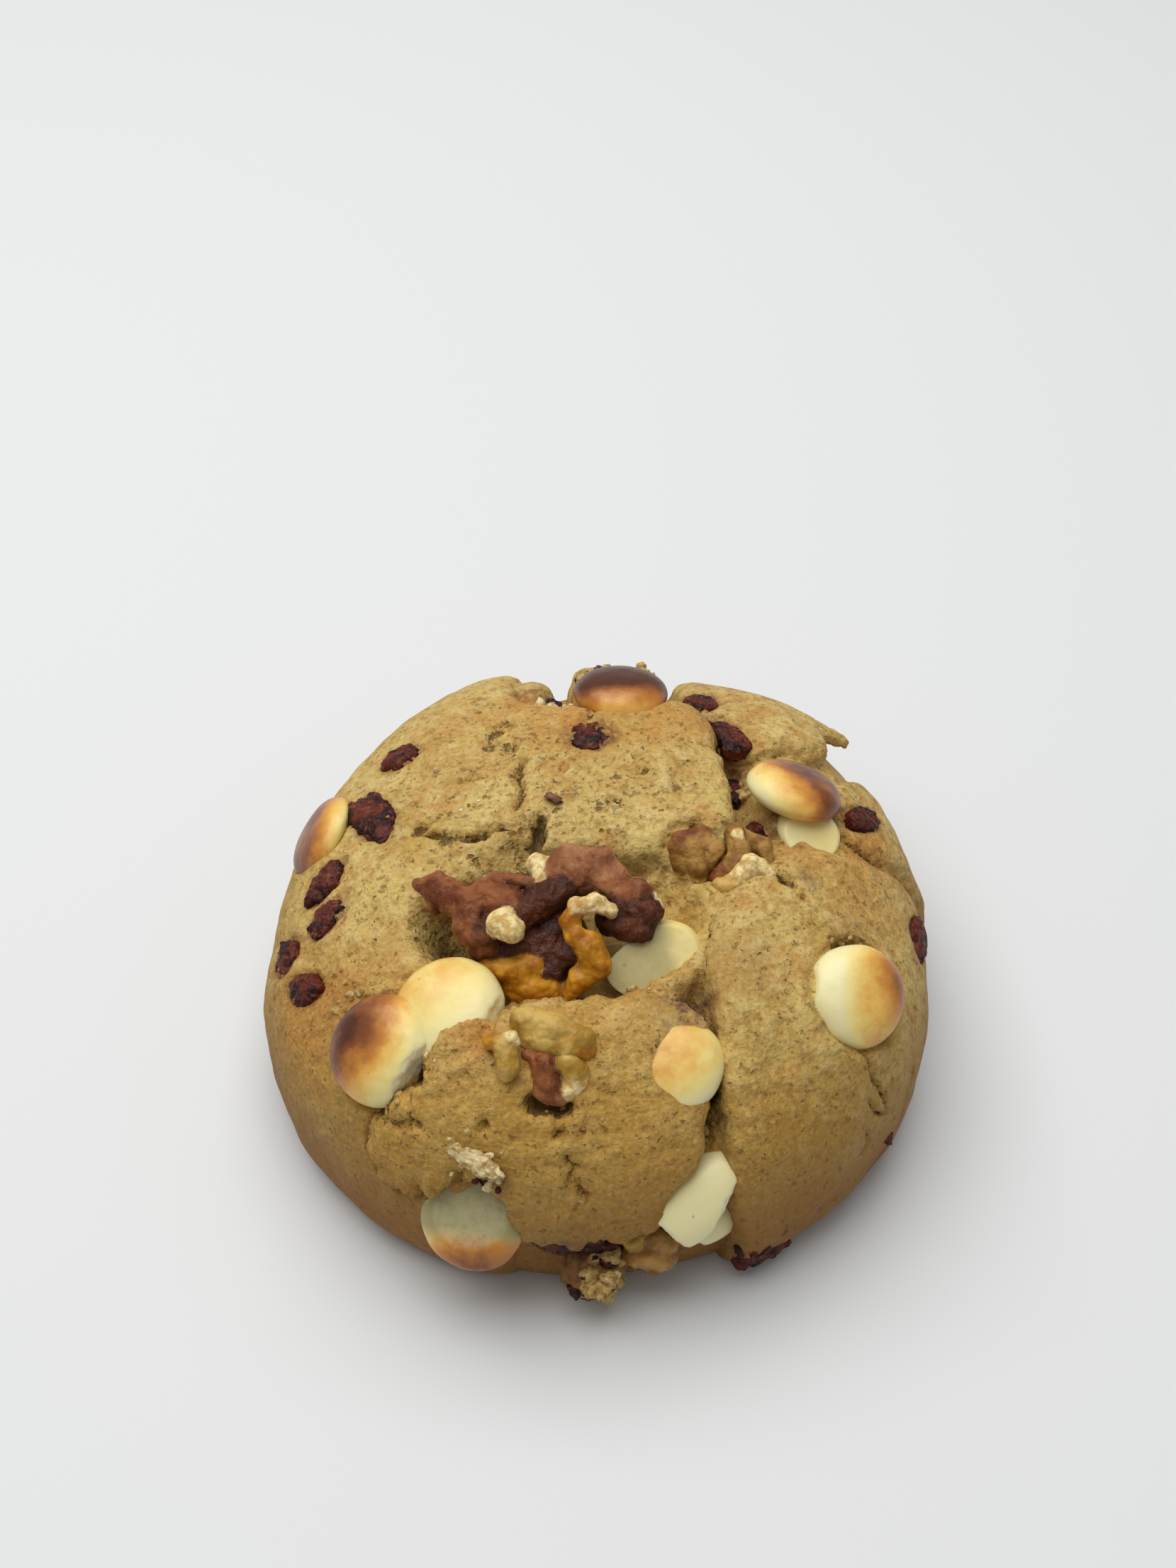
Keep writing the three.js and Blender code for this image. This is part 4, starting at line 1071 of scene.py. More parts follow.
# The kernel's folds, as rods: two ends, and the radius at each.
KERNEL = {
    "skin": [
        # horn at the left
        ((-23.2, -8.3, 39.4), (-20.7, -9.0, 39.8), 0.8, 1.8),
        ((-20.7, -9.0, 39.8), (-18.1, -10.7, 39.6), 1.9, 2.2),
        ((-21.0, -8.8, 38.6), (-20.8, -10.5, 37.4), 1.3, 1.0),
        ((-18.6, -10.9, 38.8), (-16.8, -12.1, 39.6), 1.9, 1.7),
        # left lobe, with a curled flap of skin on top
        ((-16.0, -12.4, 40.0), (-16.2, -13.9, 38.6), 2.2, 2.3),
        ((-16.1, -14.7, 38.2), (-14.5, -15.8, 38.0), 2.0, 1.9),
        ((-14.3, -11.0, 40.6), (-12.0, -12.4, 40.0), 2.1, 2.6),
        ((-12.9, -8.8, 41.2), (-9.3, -9.5, 41.4), 1.0, 0.9),
        ((-14.7, -10.8, 41.0), (-13.9, -9.9, 41.2), 1.4, 1.2),
        # right lobe, rolled under towards the front
        ((0.8, -10.5, 41.0), (4.2, -11.0, 40.6), 1.9, 1.9),
    ],
    "bloom": [
        # high plateau at the back
        ((-5.0, -8.6, 41.6), (-4.4, -6.1, 41.9), 2.2, 1.8),
        ((-4.4, -6.4, 41.9), (-0.2, -6.6, 41.9), 1.8, 1.9),
        ((-0.2, -6.8, 41.8), (1.7, -8.6, 41.3), 1.9, 1.6),
        ((-3.3, -8.6, 41.6), (0.9, -8.8, 41.2), 2.6, 2.2),
        ((1.7, -9.0, 41.1), (5.5, -10.0, 40.0), 1.5, 1.2),
    ],
    # Skin painted dark with the shade that falls in the long fold, in the valley and under the right lobe.
    "dark": [
        # long fold from the lower left up to the right, its skin painted dark with shade
        ((-14.7, -15.7, 38.2), (-11.1, -14.6, 39.4), 2.0, 2.2),
        ((-11.2, -13.7, 39.6), (-7.9, -12.4, 40.4), 2.3, 2.2),
        ((-7.9, -12.3, 40.5), (-5.0, -10.8, 41.3), 2.1, 2.2),
        # underside of the right lobe, painted dark with shade
        ((4.2, -11.0, 40.6), (5.8, -12.9, 39.6), 1.9, 1.8),
        ((2.1, -12.2, 39.8), (4.2, -12.9, 39.6), 2.0, 2.0),
        ((5.4, -12.5, 39.5), (4.8, -14.8, 38.4), 2.0, 1.7),
        ((1.3, -13.7, 39.0), (4.6, -14.7, 38.3), 2.2, 1.7),
        # floor and far wall of the valley between the folds, painted dark with shade
        ((-15.3, -16.8, 36.6), (-10.4, -15.8, 36.6), 1.2, 1.8),
        ((-10.4, -15.8, 36.6), (-3.7, -14.2, 37.6), 1.8, 2.0),
        ((-9.1, -16.6, 36.0), (-3.7, -16.9, 36.4), 1.7, 1.9),
        ((-5.8, -11.6, 39.0), (-5.0, -14.3, 37.8), 1.6, 1.6),
        ((-6.4, -18.4, 35.0), (-6.2, -20.0, 32.6), 1.9, 1.5),
        ((-5.0, -17.1, 36.0), (-5.8, -18.8, 34.8), 1.6, 1.7),
    ],
    "gold": [
        # bent ridge of bare flesh in front
        ((-3.1, -14.5, 42.6), (-4.0, -16.3, 41.6), 1.2, 1.1),
        ((-4.0, -16.3, 41.6), (-3.2, -17.6, 40.6), 1.1, 1.3),
        ((-3.2, -17.6, 40.6), (-1.6, -18.4, 39.6), 1.3, 1.8),
        ((-1.6, -18.2, 39.4), (-0.6, -19.8, 37.8), 2.0, 1.9),
        ((-0.6, -19.7, 37.6), (-2.7, -20.7, 36.2), 1.6, 1.5),
        ((-2.7, -20.7, 36.2), (-3.9, -21.6, 34.4), 1.5, 0.9),
        # ledge at the left
        ((-14.7, -17.7, 35.4), (-12.0, -18.5, 35.4), 0.9, 1.5),
        ((-12.0, -18.5, 35.4), (-8.3, -18.5, 35.8), 1.5, 1.6),
        ((-10.7, -19.2, 34.6), (-7.8, -19.3, 34.8), 1.3, 1.2),
        # smooth broken underside
        ((-10.8, -19.2, 32.6), (-8.7, -20.4, 31.4), 2.0, 1.8),
        ((-8.7, -19.7, 33.2), (-5.8, -19.7, 33.2), 2.4, 2.2),
        ((-6.6, -20.4, 31.8), (-5.0, -20.0, 32.6), 1.8, 1.6),
        ((-17.0, -14.6, 37.6), (-16.4, -15.6, 37.2), 1.3, 1.0),
    ],
    "cream": [
        ((1.2, -14.8, 42.0), (-0.8, -13.9, 42.8), 1.0, 1.1),
        ((-0.8, -13.9, 42.8), (-3.1, -14.5, 42.6), 1.1, 1.2),
        ((-7.9, -6.8, 41.4), (-7.3, -8.8, 41.2), 1.5, 1.4),
        ((-8.8, -7.4, 41.2), (-8.4, -6.6, 41.2), 0.9, 0.9),
        ((-16.4, -11.0, 40.6), (-14.4, -9.0, 40.8), 0.8, 0.7),
        ((-12.2, -16.0, 41.2), (-11.0, -17.0, 41.1), 1.9, 1.7),
        ((6.4, -11.6, 40.4), (6.6, -13.2, 39.6), 0.9, 0.8),
    ],
}


NO_ROD = 9.0  # distance that stands for a tone without rods


def nearest_rod(points, rods):
    """Distance outside the nearest of several rods."""
    return np.min([capsule(points, *rod) for rod in rods] or [np.full(len(points), NO_ROD)], axis=0)


CREASE_REACH = 1.4  # how far off the surface the air is felt for
CREASE_SLACK = 0.05  # share of that air that may be filled before it counts as a crease
CREASE_BLEND = 0.2  # how far the creases between rods are filled
OUTWARD_STEP = 0.2  # from a point to each of the two that give the way out along an axis
WRINKLE_SIZE, WRINKLE_HEIGHT, WRINKLE_LEVEL = 2.4, 0.3, 0.1
RIPPLE_SIZE, RIPPLE_HEIGHT = 3, 0.18
GRAIN_SIZE, GRAIN_HEIGHT = 0.8, 0.04
SKIN_EDGE = dict(size=1.4, reach=0.35)  # how raggedly tones meet
BARE_EDGE = (-0.15, 0.2)  # how much nearer flesh is than skin, from all skin to all flesh
TONE_EDGE = 0.5  # how far to each side one tone of skin or flesh runs into the next
COVERED = ("dark", "skin", "bloom", "amber")  # tones of skin, of which dark is painted shade
BARE = ("gold", "honey", "cream")  # tones of flesh


def folded_piece(name, rods, low, high, cell, seed, fine=1):
    """A walnut piece: its rods grown together with narrow creases and wrinkled by noise, with the
    tone of the nearest rod at each vertex, and how deep it lies in a crease, for painted shade.
    `rods` has a list for each tone, and `fine` scales the creases and wrinkles."""
    every = [rod for tone in rods.values() for rod in tone]

    def body(points):
        return soft_union([capsule(points, *rod) for rod in every], CREASE_BLEND * fine)

    def field(points):
        wrinkle = (1 - np.abs(layered(points, WRINKLE_SIZE, seed + 4, 3))) ** 3
        ripple = RIPPLE_HEIGHT * layered(points, RIPPLE_SIZE, seed, 2)
        ripple = ripple + WRINKLE_HEIGHT * wrinkle - WRINKLE_LEVEL
        grain = GRAIN_HEIGHT * noise(points, GRAIN_SIZE, seed + 2)
        return body(points) + fine * ripple + grain

    points, faces = field_surface(field, low, high, cell)
    piece = add_piece(name, points, faces)
    ragged = SKIN_EDGE["reach"] * layered(points, SKIN_EDGE["size"], seed + 9, 2)
    near = {tone: nearest_rod(points, rods.get(tone, [])) for tone in COVERED + BARE}
    flesh, covered = (np.min([near[tone] for tone in group], axis=0) for group in (BARE, COVERED))
    set_attribute(piece, "bare", smooth_step(covered + ragged - flesh, *BARE_EDGE))
    for tone in ("cream", "honey", "amber", "bloom", "dark"):
        group = BARE if tone in BARE else COVERED
        beside = np.min([near[other] for other in group if other != tone], axis=0)
        amount = smooth_step(beside - near[tone] + ragged, -TONE_EDGE, TONE_EDGE)
        set_attribute(piece, tone, amount)
    # how shut in by the piece each point is, which the material paints as shade
    slope = np.stack([body(points + e) - body(points - e) for e in OUTWARD_STEP * np.eye(3)], -1)
    outward = slope / (np.linalg.norm(slope, axis=1, keepdims=True) + 1e-9)
    open_air = body(points + CREASE_REACH * outward) / CREASE_REACH
    set_attribute(piece, "crease_shade", 1 - np.clip(open_air + CREASE_SLACK, 0, 1))
    piece.data.materials.append(walnut_material)
    return piece


def walnut_finish():
    """Walnut: papery red-brown skin with a pale bloom, painted shade in the creases and on the darker
    skin of folds, valleys and undersides, and waxy flesh that runs from cream through gold to amber
    where the skin is broken."""
    material, tree, shader, where = new_material("walnut", Roughness=0.36, IOR=1.47)
    shader.inputs["Specular IOR Level"].default_value = 0.28
    shade = span(tree, cloud(tree, where, 3.2, 4, 0.55), 0.36, 0.64)
    brown = blend_colour(tree, shade, colour(106, 50, 20), colour(150, 88, 46))
    bloom = span(tree, cloud(tree, where, 1.9, 4, 0.6), 0.5, 0.7, 0, 0.4)
    brown = blend_colour(tree, bloom, brown, colour(184, 132, 88))
    milky = math(tree, "MULTIPLY", attribute(tree, "bloom"), 0.4)
    film = blend_colour(tree, shade, colour(154, 98, 58), colour(200, 150, 106))
    brown = blend_colour(tree, milky, brown, film)
    # painted shade: darker skin in the folds, valleys and undersides
    deep = blend_colour(tree, shade, colour(58, 22, 8), colour(90, 42, 16))
    brown = blend_colour(tree, attribute(tree, "dark"), brown, deep)
    across = math(tree, "SUBTRACT", cloud(tree, where, 2.1, 3), 0.5)
    vein = span(tree, math(tree, "ABSOLUTE", across), 0.0, 0.02, 1.0, 0.0)
    brown = blend_colour(tree, math(tree, "MULTIPLY", vein, 0.16), brown, colour(186, 136, 100))
    amber = blend_colour(tree, shade, colour(128, 84, 28), colour(180, 136, 70))
    brown = blend_colour(tree, attribute(tree, "amber"), brown, amber)
    gold = blend_colour(
        tree, span(tree, cloud(tree, where, 2.2, 3), 0.35, 0.65), colour(160, 96, 8), colour(206, 144, 38)
    )
    fine = cloud(tree, where, 0.8, 4, 0.6)
    cream = blend_colour(tree, span(tree, fine, 0.4, 0.6), colour(206, 168, 98), colour(240, 218, 158))
    honey = blend_colour(tree, shade, colour(164, 124, 44), colour(204, 168, 88))
    bare = blend_colour(tree, attribute(tree, "honey"), gold, honey)
    bare = blend_colour(tree, attribute(tree, "cream"), bare, cream)
    tone = blend_colour(tree, attribute(tree, "bare"), brown, bare)
    # painted shade in the creases
    dark = math(tree, "MULTIPLY", attribute(tree, "crease_shade"), 0.75)
    tone = blend_colour(tree, dark, tone, colour(50, 22, 12))
    tree.links.new(tone, shader.inputs["Base Color"])
    tree.links.new(span(tree, attribute(tree, "cream"), 0, 1, 0.36, 0.6), shader.inputs["Roughness"])
    relief = math(tree, "ADD", math(tree, "MULTIPLY", fine, 1.5), cloud(tree, where, 2, 2))
    relief = math(tree, "MULTIPLY", relief, span(tree, attribute(tree, "bare"), 0, 1, 1.0, 0.5))
    bump = add_node(tree, "Bump", {"Height": relief, "Strength": 0.8, "Distance": 0.25 * MM})
    tree.links.new(bump.outputs[0], shader.inputs["Normal"])
    return material


walnut_material = walnut_finish()
KERNEL_LOW, KERNEL_HIGH = (-26, -25, 28), (10, -2, 46)
KERNEL_CELL = 0.26
KERNEL_SEED = 211
kernel = folded_piece("walnut_half", KERNEL, KERNEL_LOW, KERNEL_HIGH, KERNEL_CELL, KERNEL_SEED)
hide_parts("walnut_kernel")

# The smaller pieces' folds: tone, two ends, and the radius at each.
NUTS = {
    "walnut_back_left": [
        ("amber", (9.8, -0.2, 37.5), (10.4, -2.4, 36.3), 1.5, 1.4),
        ("skin", (10.1, 0.2, 38.3), (13.0, 0.6, 38.7), 1.2, 1.4),
        ("amber", (13.0, 0.3, 38.7), (14.6, -1.3, 38.1), 1.3, 1.2),
        ("amber", (14.6, -1.4, 37.9), (13.9, -2.9, 36.9), 1.2, 1),
        ("amber", (11.6, -1.2, 37.9), (12.5, -3.1, 36.7), 1.8, 1.6),
        ("cream", (10.7, -2.8, 35.9), (12.8, -3.5, 35.9), 1.2, 1.2),
    ],
    "walnut_back_right": [
        ("amber", (17.2, 0.9, 38.8), (17.9, -1.5, 38.2), 1.4, 1.6),
        ("amber", (17.9, -1.5, 38.2), (16.9, -3.3, 37.2), 1.6, 1.5),
        ("skin", (16.9, -3.1, 37.0), (14.6, -4.4, 36.0), 1.5, 1),
        ("amber", (18.5, 0.2, 38.2), (20.7, -0.8, 38.0), 1.3, 1.4),
        ("amber", (20.7, -0.9, 37.8), (21.2, -2.3, 37.0), 1.3, 1),
        ("cream", (17.3, -0.1, 39.7), (17.7, -0.7, 39.5), 0.6, 0.6),
    ],
    "walnut_back_flesh": [
        ("cream", (19.0, -3.9, 37.8), (17.8, -5.2, 36.9), 1.7, 1.6),
        ("cream", (20.4, -4.1, 37.6), (21.4, -4.8, 37.4), 1.3, 0.9),
        ("honey", (15.4, -5.8, 36.0), (16.6, -5.7, 36.0), 1.3, 1.5),
    ],
    "walnut_front_plate": [
        ("honey", (-9.9, -27.9, 38.0), (-8.4, -28.1, 38.2), 1.3, 1.4),
        ("honey", (-8.6, -28.5, 38.2), (-5.4, -29.7, 38.4), 1.6, 1.7),
        ("honey", (-5.4, -29.7, 38.2), (-2.3, -30.6, 37.6), 1.7, 1.5),
        ("honey", (-9.7, -28.7, 37.0), (-7.6, -30.1, 37.2), 1.3, 1.5),
        ("honey", (-7.1, -30.5, 37.4), (-4.2, -31.6, 37.0), 1.6, 1.6),
        ("gold", (-3.8, -31.3, 37.2), (-1.8, -31.4, 36.2), 1.5, 1.3),
        ("honey", (-9.1, -30.2, 36.2), (-8.3, -30.8, 36.0), 1, 0.9),
    ],
    "walnut_front_nugget": [
        ("skin", (-6.9, -33.0, 35.6), (-6.3, -34.7, 34.0), 1.7, 1.7),
        ("honey", (-4.2, -32.9, 35.8), (-3.2, -33.9, 35.0), 1.7, 1.7),
        ("cream", (-3.2, -34.5, 34.4), (-4.2, -35.5, 33.6), 1.5, 1.3),
        ("skin", (-7.7, -33.3, 35.2), (-7.4, -35.5, 33.6), 0.9, 0.9),
        ("skin", (-6.6, -35.7, 33.2), (-5.0, -35.9, 33.2), 1.2, 1.2),
        ("skin", (-8.8, -31.7, 35.8), (-6.3, -32.5, 35.8), 0.9, 1.2),
    ],
    "walnut_front_bit": [
        ("gold", (-13.3, -31.0, 37.4), (-11.6, -31.3, 37.6), 1, 1.2),
        ("honey", (-11.6, -31.8, 37.4), (-11.1, -33.7, 36.2), 1.5, 1.4),
        ("honey", (-11.1, -33.8, 35.8), (-11.3, -34.3, 35.2), 1.2, 0.8),
        ("cream", (-10.7, -31.2, 38.4), (-10.5, -31.4, 38.2), 0.9, 0.8),
    ],
    "walnut_foot": [
        ("honey", (3.9, -42.6, 12.0), (5.5, -42.3, 12.5), 1.6, 1.5),
        ("amber", (5.6, -42.3, 12.0), (7.9, -42.4, 11.0), 1.8, 1.8),
        ("amber", (4.5, -43.1, 10.0), (7.2, -43.5, 9.5), 2, 2),
        ("amber", (6.5, -44.0, 8.0), (8.1, -43.3, 9.5), 1.4, 1.6),
    ],
}
NUT_MARGIN = 3
NUT_CELL = 0.2
NUT_FINE = 0.7
NUT_SEED = 300
for seed, (name, rows) in enumerate(NUTS.items(), NUT_SEED):
    rods = {}
    for tone, *rod in rows:
        rods.setdefault(tone, []).append(tuple(rod))
    ends = np.array([end for _, *rod in rows for end in rod[:2]])
    low, high = ends.min(0) - NUT_MARGIN, ends.max(0) + NUT_MARGIN
    nut = folded_piece(name + "_piece", rods, low, high, NUT_CELL, seed, NUT_FINE)
    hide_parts(name)

# ---- Dried red fruit ----
# Small wrinkled pieces of dried fruit, dark red to purple, soft and a little sticky. They were mixed
# into the dough, and those at the surface stained the crumb round them.

# Each piece of fruit: where, turn, half sizes, and how far it stands proud if not by FRUIT_PROUD.
FRUIT = {
    "fruit_crown": dict(at=(-0.5, 16.3), half=(3.2, 2.7, 1.8)),
    "fruit_left_back": dict(at=(-27.9, 18.6), turn=20, half=(2.8, 2.6, 1.7)),
    "fruit_left_large": dict(at=(-31, 6.6), proud=0.9, turn=-58, half=(5.2, 2.8, 2)),
    "fruit_left_upper": dict(at=(-37.7, -2.8), turn=40, half=(3.6, 2.2, 1.7)),
    "fruit_left_middle": dict(at=(-36.3, -9), turn=35, half=(3.1, 2, 1.6)),
    "fruit_left_rim": dict(at=(-44.6, -12), turn=60, half=(2.9, 2.2, 1.7)),
    "fruit_left_lower": dict(at=(-40.2, -18.4), turn=-20, half=(3.1, 2.2, 1.7)),
    "fruit_back": dict(at=(-7.6, 30.6), turn=-40, half=(3.8, 2.8, 2)),
    "fruit_back_plate": dict(at=(14.9, 28.4), turn=60, half=(3.4, 2.2, 1.7)),
    "fruit_cleft_back": dict(at=(18.2, 19.6), proud=1.3, turn=-55, half=(3.9, 2.2, 1.8)),
    "fruit_cleft_middle": dict(at=(19.7, 13.6), turn=80, half=(2.7, 1.9, 1.7)),
    "fruit_cleft_front": dict(at=(22.6, 3.8), proud=1.7, turn=30, half=(3.2, 2.4, 1.8)),
    "fruit_right_back": dict(at=(38.9, 9.9), turn=35, half=(3.7, 2.1, 1.6)),
    "fruit_right_rim": dict(at=(48.6, -7.2), turn=70, half=(3.4, 2.5, 1.7)),
    "fruit_front_foot": dict(at=(-4.2, -60.6), proud=1.7, half=(5.6, 3, 2.2)),
    "fruit_right_foot": dict(at=(32, -61.5), turn=20, half=(4, 2.2, 1.7)),
}


SHARD_WAVES = [(0.8, 0.26), (0.36, 0.16)]  # size and share of each unevenness of the outline
SHARD_NICKS = (0.17, 0.1)  # size and share of the nicks in it
SHARD_FLATNESS = 0.6  # power of |sin|: 1 is round, and less is flatter
SHARD_RIDGES = dict(size=1.7, height=0.45, width=0.1, fade=0.3)


def shard(half, seed, rows=64, columns=110):
    """A torn flat piece: a sphere of directions whose outline is pushed in and out by noise, its top
    and bottom flattened to |sin|^flatness and broken by sharp ridges of noise, which fade to the
    rim as cos^fade."""
    latitude, longitude = closed_grid(rows, columns)
    ring = np.stack([np.cos(longitude), np.sin(longitude)], -1)[0]
    outline = 1
    for k, (size, share) in enumerate(SHARD_WAVES):
        outline = outline + share * noise(ring, size, seed + k)
    nick_size, nick_share = SHARD_NICKS
    outline = outline - nick_share * np.abs(noise(ring, nick_size, seed + 2))
    plan = np.cos(latitude)[..., None] * (outline[:, None] * ring)[None]
    upright = np.sign(np.sin(latitude)) * np.abs(np.sin(latitude)) ** SHARD_FLATNESS
    shape = np.concatenate([plan, (upright + 0 * longitude)[..., None]], -1) * np.array(half)
    ridges = 0.5 - np.abs(layered(shape, SHARD_RIDGES["size"], seed + 5, 3, 0.6))
    ridges[[0, -1]] = ridges[[0, -1]].mean()
    height = SHARD_RIDGES["height"] * ridges
    shape[..., 2] += height * np.sign(upright) * np.cos(latitude) ** SHARD_RIDGES["fade"]
    shape[..., :2] *= (1 + SHARD_RIDGES["width"] * ridges * np.cos(latitude))[..., None]
    return shape


def fruit_finish():
    """Dried fruit: dark purple-brown flesh, redder on its ridges, with small wet lights."""
    material, tree, shader, where = new_material("dried_fruit", Roughness=0.4, IOR=1.45)
    shader.inputs["Specular IOR Level"].default_value = 0.25
    blotch = span(tree, cloud(tree, where, 3, 4, 0.6), 0.4, 0.62)
    base = blend_colour(tree, blotch, colour(40, 15, 13), colour(100, 40, 26))
    grain = cloud(tree, where, 1.1, 4, 0.65)
    base = blend_colour(tree, span(tree, grain, 0.54, 0.7, 0, 0.8), base, colour(140, 72, 44))
    base = blend_colour(tree, span(tree, grain, 0.46, 0.34, 0, 0.8), base, colour(30, 13, 14))
    tree.links.new(base, shader.inputs["Base Color"])
    relief = math(tree, "ADD", grain, cloud(tree, where, 1.4, 3))
    bump = add_node(tree, "Bump", {"Height": relief, "Strength": 1.0, "Distance": 0.28 * MM})
    tree.links.new(bump.outputs[0], shader.inputs["Normal"])
    return material


fruit_material = fruit_finish()
FRUIT_PROUD = 0.62
FRUIT_FLATNESS = 0.85
FRUIT_SEED = 500
for seed, (name, row) in enumerate(FRUIT.items(), FRUIT_SEED):
    half = np.array(row["half"]) * (1, 1, FRUIT_FLATNESS)
    beside = np.hypot(*(flat_places - row["at"]).T) < min(half[:2])
    level = np.median(lift[beside] + relief[beside])
    rise = level + row.get("proud", FRUIT_PROUD) - half[2]
    place, axes = stand(row["at"], rise, turn=row.get("turn", 0))
    vertices, faces = close_poles(shard(half, seed))
    fruit = add_piece(name + "_piece", place + vertices @ axes, faces)
    fruit.data.materials.append(fruit_material)
    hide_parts(name)

# ---- Crumbs, flakes and specks ----
# What broke loose as the crust split: crumbs of dough, paler crumbs and bits of fruit, which lie in
# the cracks and along the broken edges, and also thin flakes of crust and one brown seed.

# Kind, count, smallest and largest half size, reach to each side, and places that they lie along.
BITS = [
    ("pale", 14, 0.3, 0.8, 0.9, [(-20.4, -30.6), (-19.4, -32.6)]),
    ("pale", 22, 0.25, 0.8, 1.8, [(-17.6, -42), (-15.8, -43.4), (-13.4, -44.8), (-11.8, -46.8)]),
    ("crumb", 46, 0.5, 1.7, 3.2, [(0.5, -62), (1.5, -66), (2.6, -71)]),
    ("pale", 16, 0.5, 1.0, 2.4, [(1.5, -65), (3.5, -70)]),
    ("fruit", 34, 0.5, 1.3, 3.2, [(-3, -60), (0.5, -62), (0.5, -67), (1, -72)]),
    ("crumb", 26, 0.6, 1.5, 1.4, [(-2.5, 33.5), (3.5, 35), (10, 34)]),
    ("fruit", 9, 0.5, 1.1, 1.2, [(-2, 34), (2, 35.5)]),
    ("crumb", 6, 0.3, 0.8, 1.4, [(-6.4, -38.8), (-3.5, -39)]),
    ("pale", 7, 0.2, 0.45, 1.6, [(-19.9, 4.7), (-16, 5)]),
    ("crumb", 46, 0.4, 1.1, 1.4, [(17.5, 11.5), (23, 13), (29.5, 14.5)]),
    ("pale", 9, 0.4, 1.0, 0.9, [(21, -3), (23.4, -1.6)]),
    ("crumb", 22, 0.3, 0.9, 1.3, [(-2.5, -24), (2.5, -24.2), (8, -24.6)]),
    ("crumb", 14, 0.3, 0.7, 0.9, [(29.5, -14.8), (36, -13.8)]),
    ("crumb", 30, 0.3, 1.0, 0.9, [(14.4, -37), (15.4, -40), (16.2, -44), (15.6, -47)]),
    ("crumb", 26, 0.4, 1.0, 1.0, [(9.5, -55.7), (12.5, -52.5), (14, -49)]),
    ("pale", 14, 0.4, 0.9, 1.0, [(-7.5, 25.4), (-2, 24.8)]),
    ("crumb", 14, 0.3, 0.7, 1.8, [(-31, -27), (-33.5, -22), (-29, -20.5)]),
    ("crumb", 26, 0.4, 1.1, 1.0, [(-30.5, -41), (-28, -38), (-23, -36)]),
    ("fruit", 10, 0.4, 1.0, 1.6, [(27, -59.5), (33, -61.5)]),
    ("fruit", 3, 0.4, 0.8, 0.5, [(49.3, -37.5)]),
    ("fruit", 8, 0.4, 0.8, 0.9, [(-14.6, -45.4), (-13, -48)]),
    ("crumb", 16, 0.3, 0.8, 1.6, [(18, 1), (15.5, -6)]),
]
BIT_ROWS, BIT_COLUMNS = 7, 10
BIT_RISE = 0.1  # of a bit's size, from the dough to its middle
BIT_SPREAD = 0.5  # usual distance from the route, over the reach
BIT_LEAST, BIT_MOST = 0.6, 1.1  # half sizes, over the size that is drawn
SCATTER_SEED = 77
LUMP_SEED = 900


LUMP_WAVES = [(1.1, 0.5), (0.6, 0.45)]  # size and share of each unevenness


def lump(half, seed):
    """A crumb: a sphere of directions stretched to its half sizes, with noise in two sizes."""
    latitude, longitude = closed_grid(BIT_ROWS, BIT_COLUMNS)
    shape = np.stack(
        [
            np.cos(latitude) * np.cos(longitude),
            np.cos(latitude) * np.sin(longitude),
            np.sin(latitude) + 0 * longitude,
        ],
        -1,
    )
    swell = 1
    for k, (size, share) in enumerate(LUMP_WAVES):
        swell = swell + share * noise(shape, size, seed + k)
    swell[[0, -1]] = swell[[0, -1]].mean(1, keepdims=True)
    return shape * swell[..., None] * half


def random_turns(rng, count):
    """Rotation matrices from random unit quaternions."""
    w, x, y, z = rng.normal(size=(4, count))
    size = np.sqrt(w * w + x * x + y * y + z * z)
    w, x, y, z = w / size, x / size, y / size, z / size
    return np.stack(
        [
            np.stack([1 - 2 * (y * y + z * z), 2 * (x * y - z * w), 2 * (x * z + y * w)], -1),
            np.stack([2 * (x * y + z * w), 1 - 2 * (x * x + z * z), 2 * (y * z - x * w)], -1),
            np.stack([2 * (x * z - y * w), 2 * (y * z + x * w), 1 - 2 * (x * x + y * y)], -1),
        ],
        1,
    )


def bit_finish(name, dark, light, rough):
    """One kind of bit: two tones mixed by fine noise."""
    material, tree, shader, where = new_material(name, Roughness=rough, IOR=1.44)
    shader.inputs["Specular IOR Level"].default_value = 0.3
    grain = cloud(tree, where, 0.9, 4, 0.65)
    tone = blend_colour(tree, span(tree, grain, 0.38, 0.62), colour(*dark), colour(*light))
    tree.links.new(tone, shader.inputs["Base Color"])
    relief = cloud(tree, where, 0.6, 3)
    bump = add_node(tree, "Bump", {"Height": relief, "Strength": 0.8, "Distance": 0.2 * MM})
    tree.links.new(bump.outputs[0], shader.inputs["Normal"])
    return material


rng = np.random.default_rng(SCATTER_SEED)
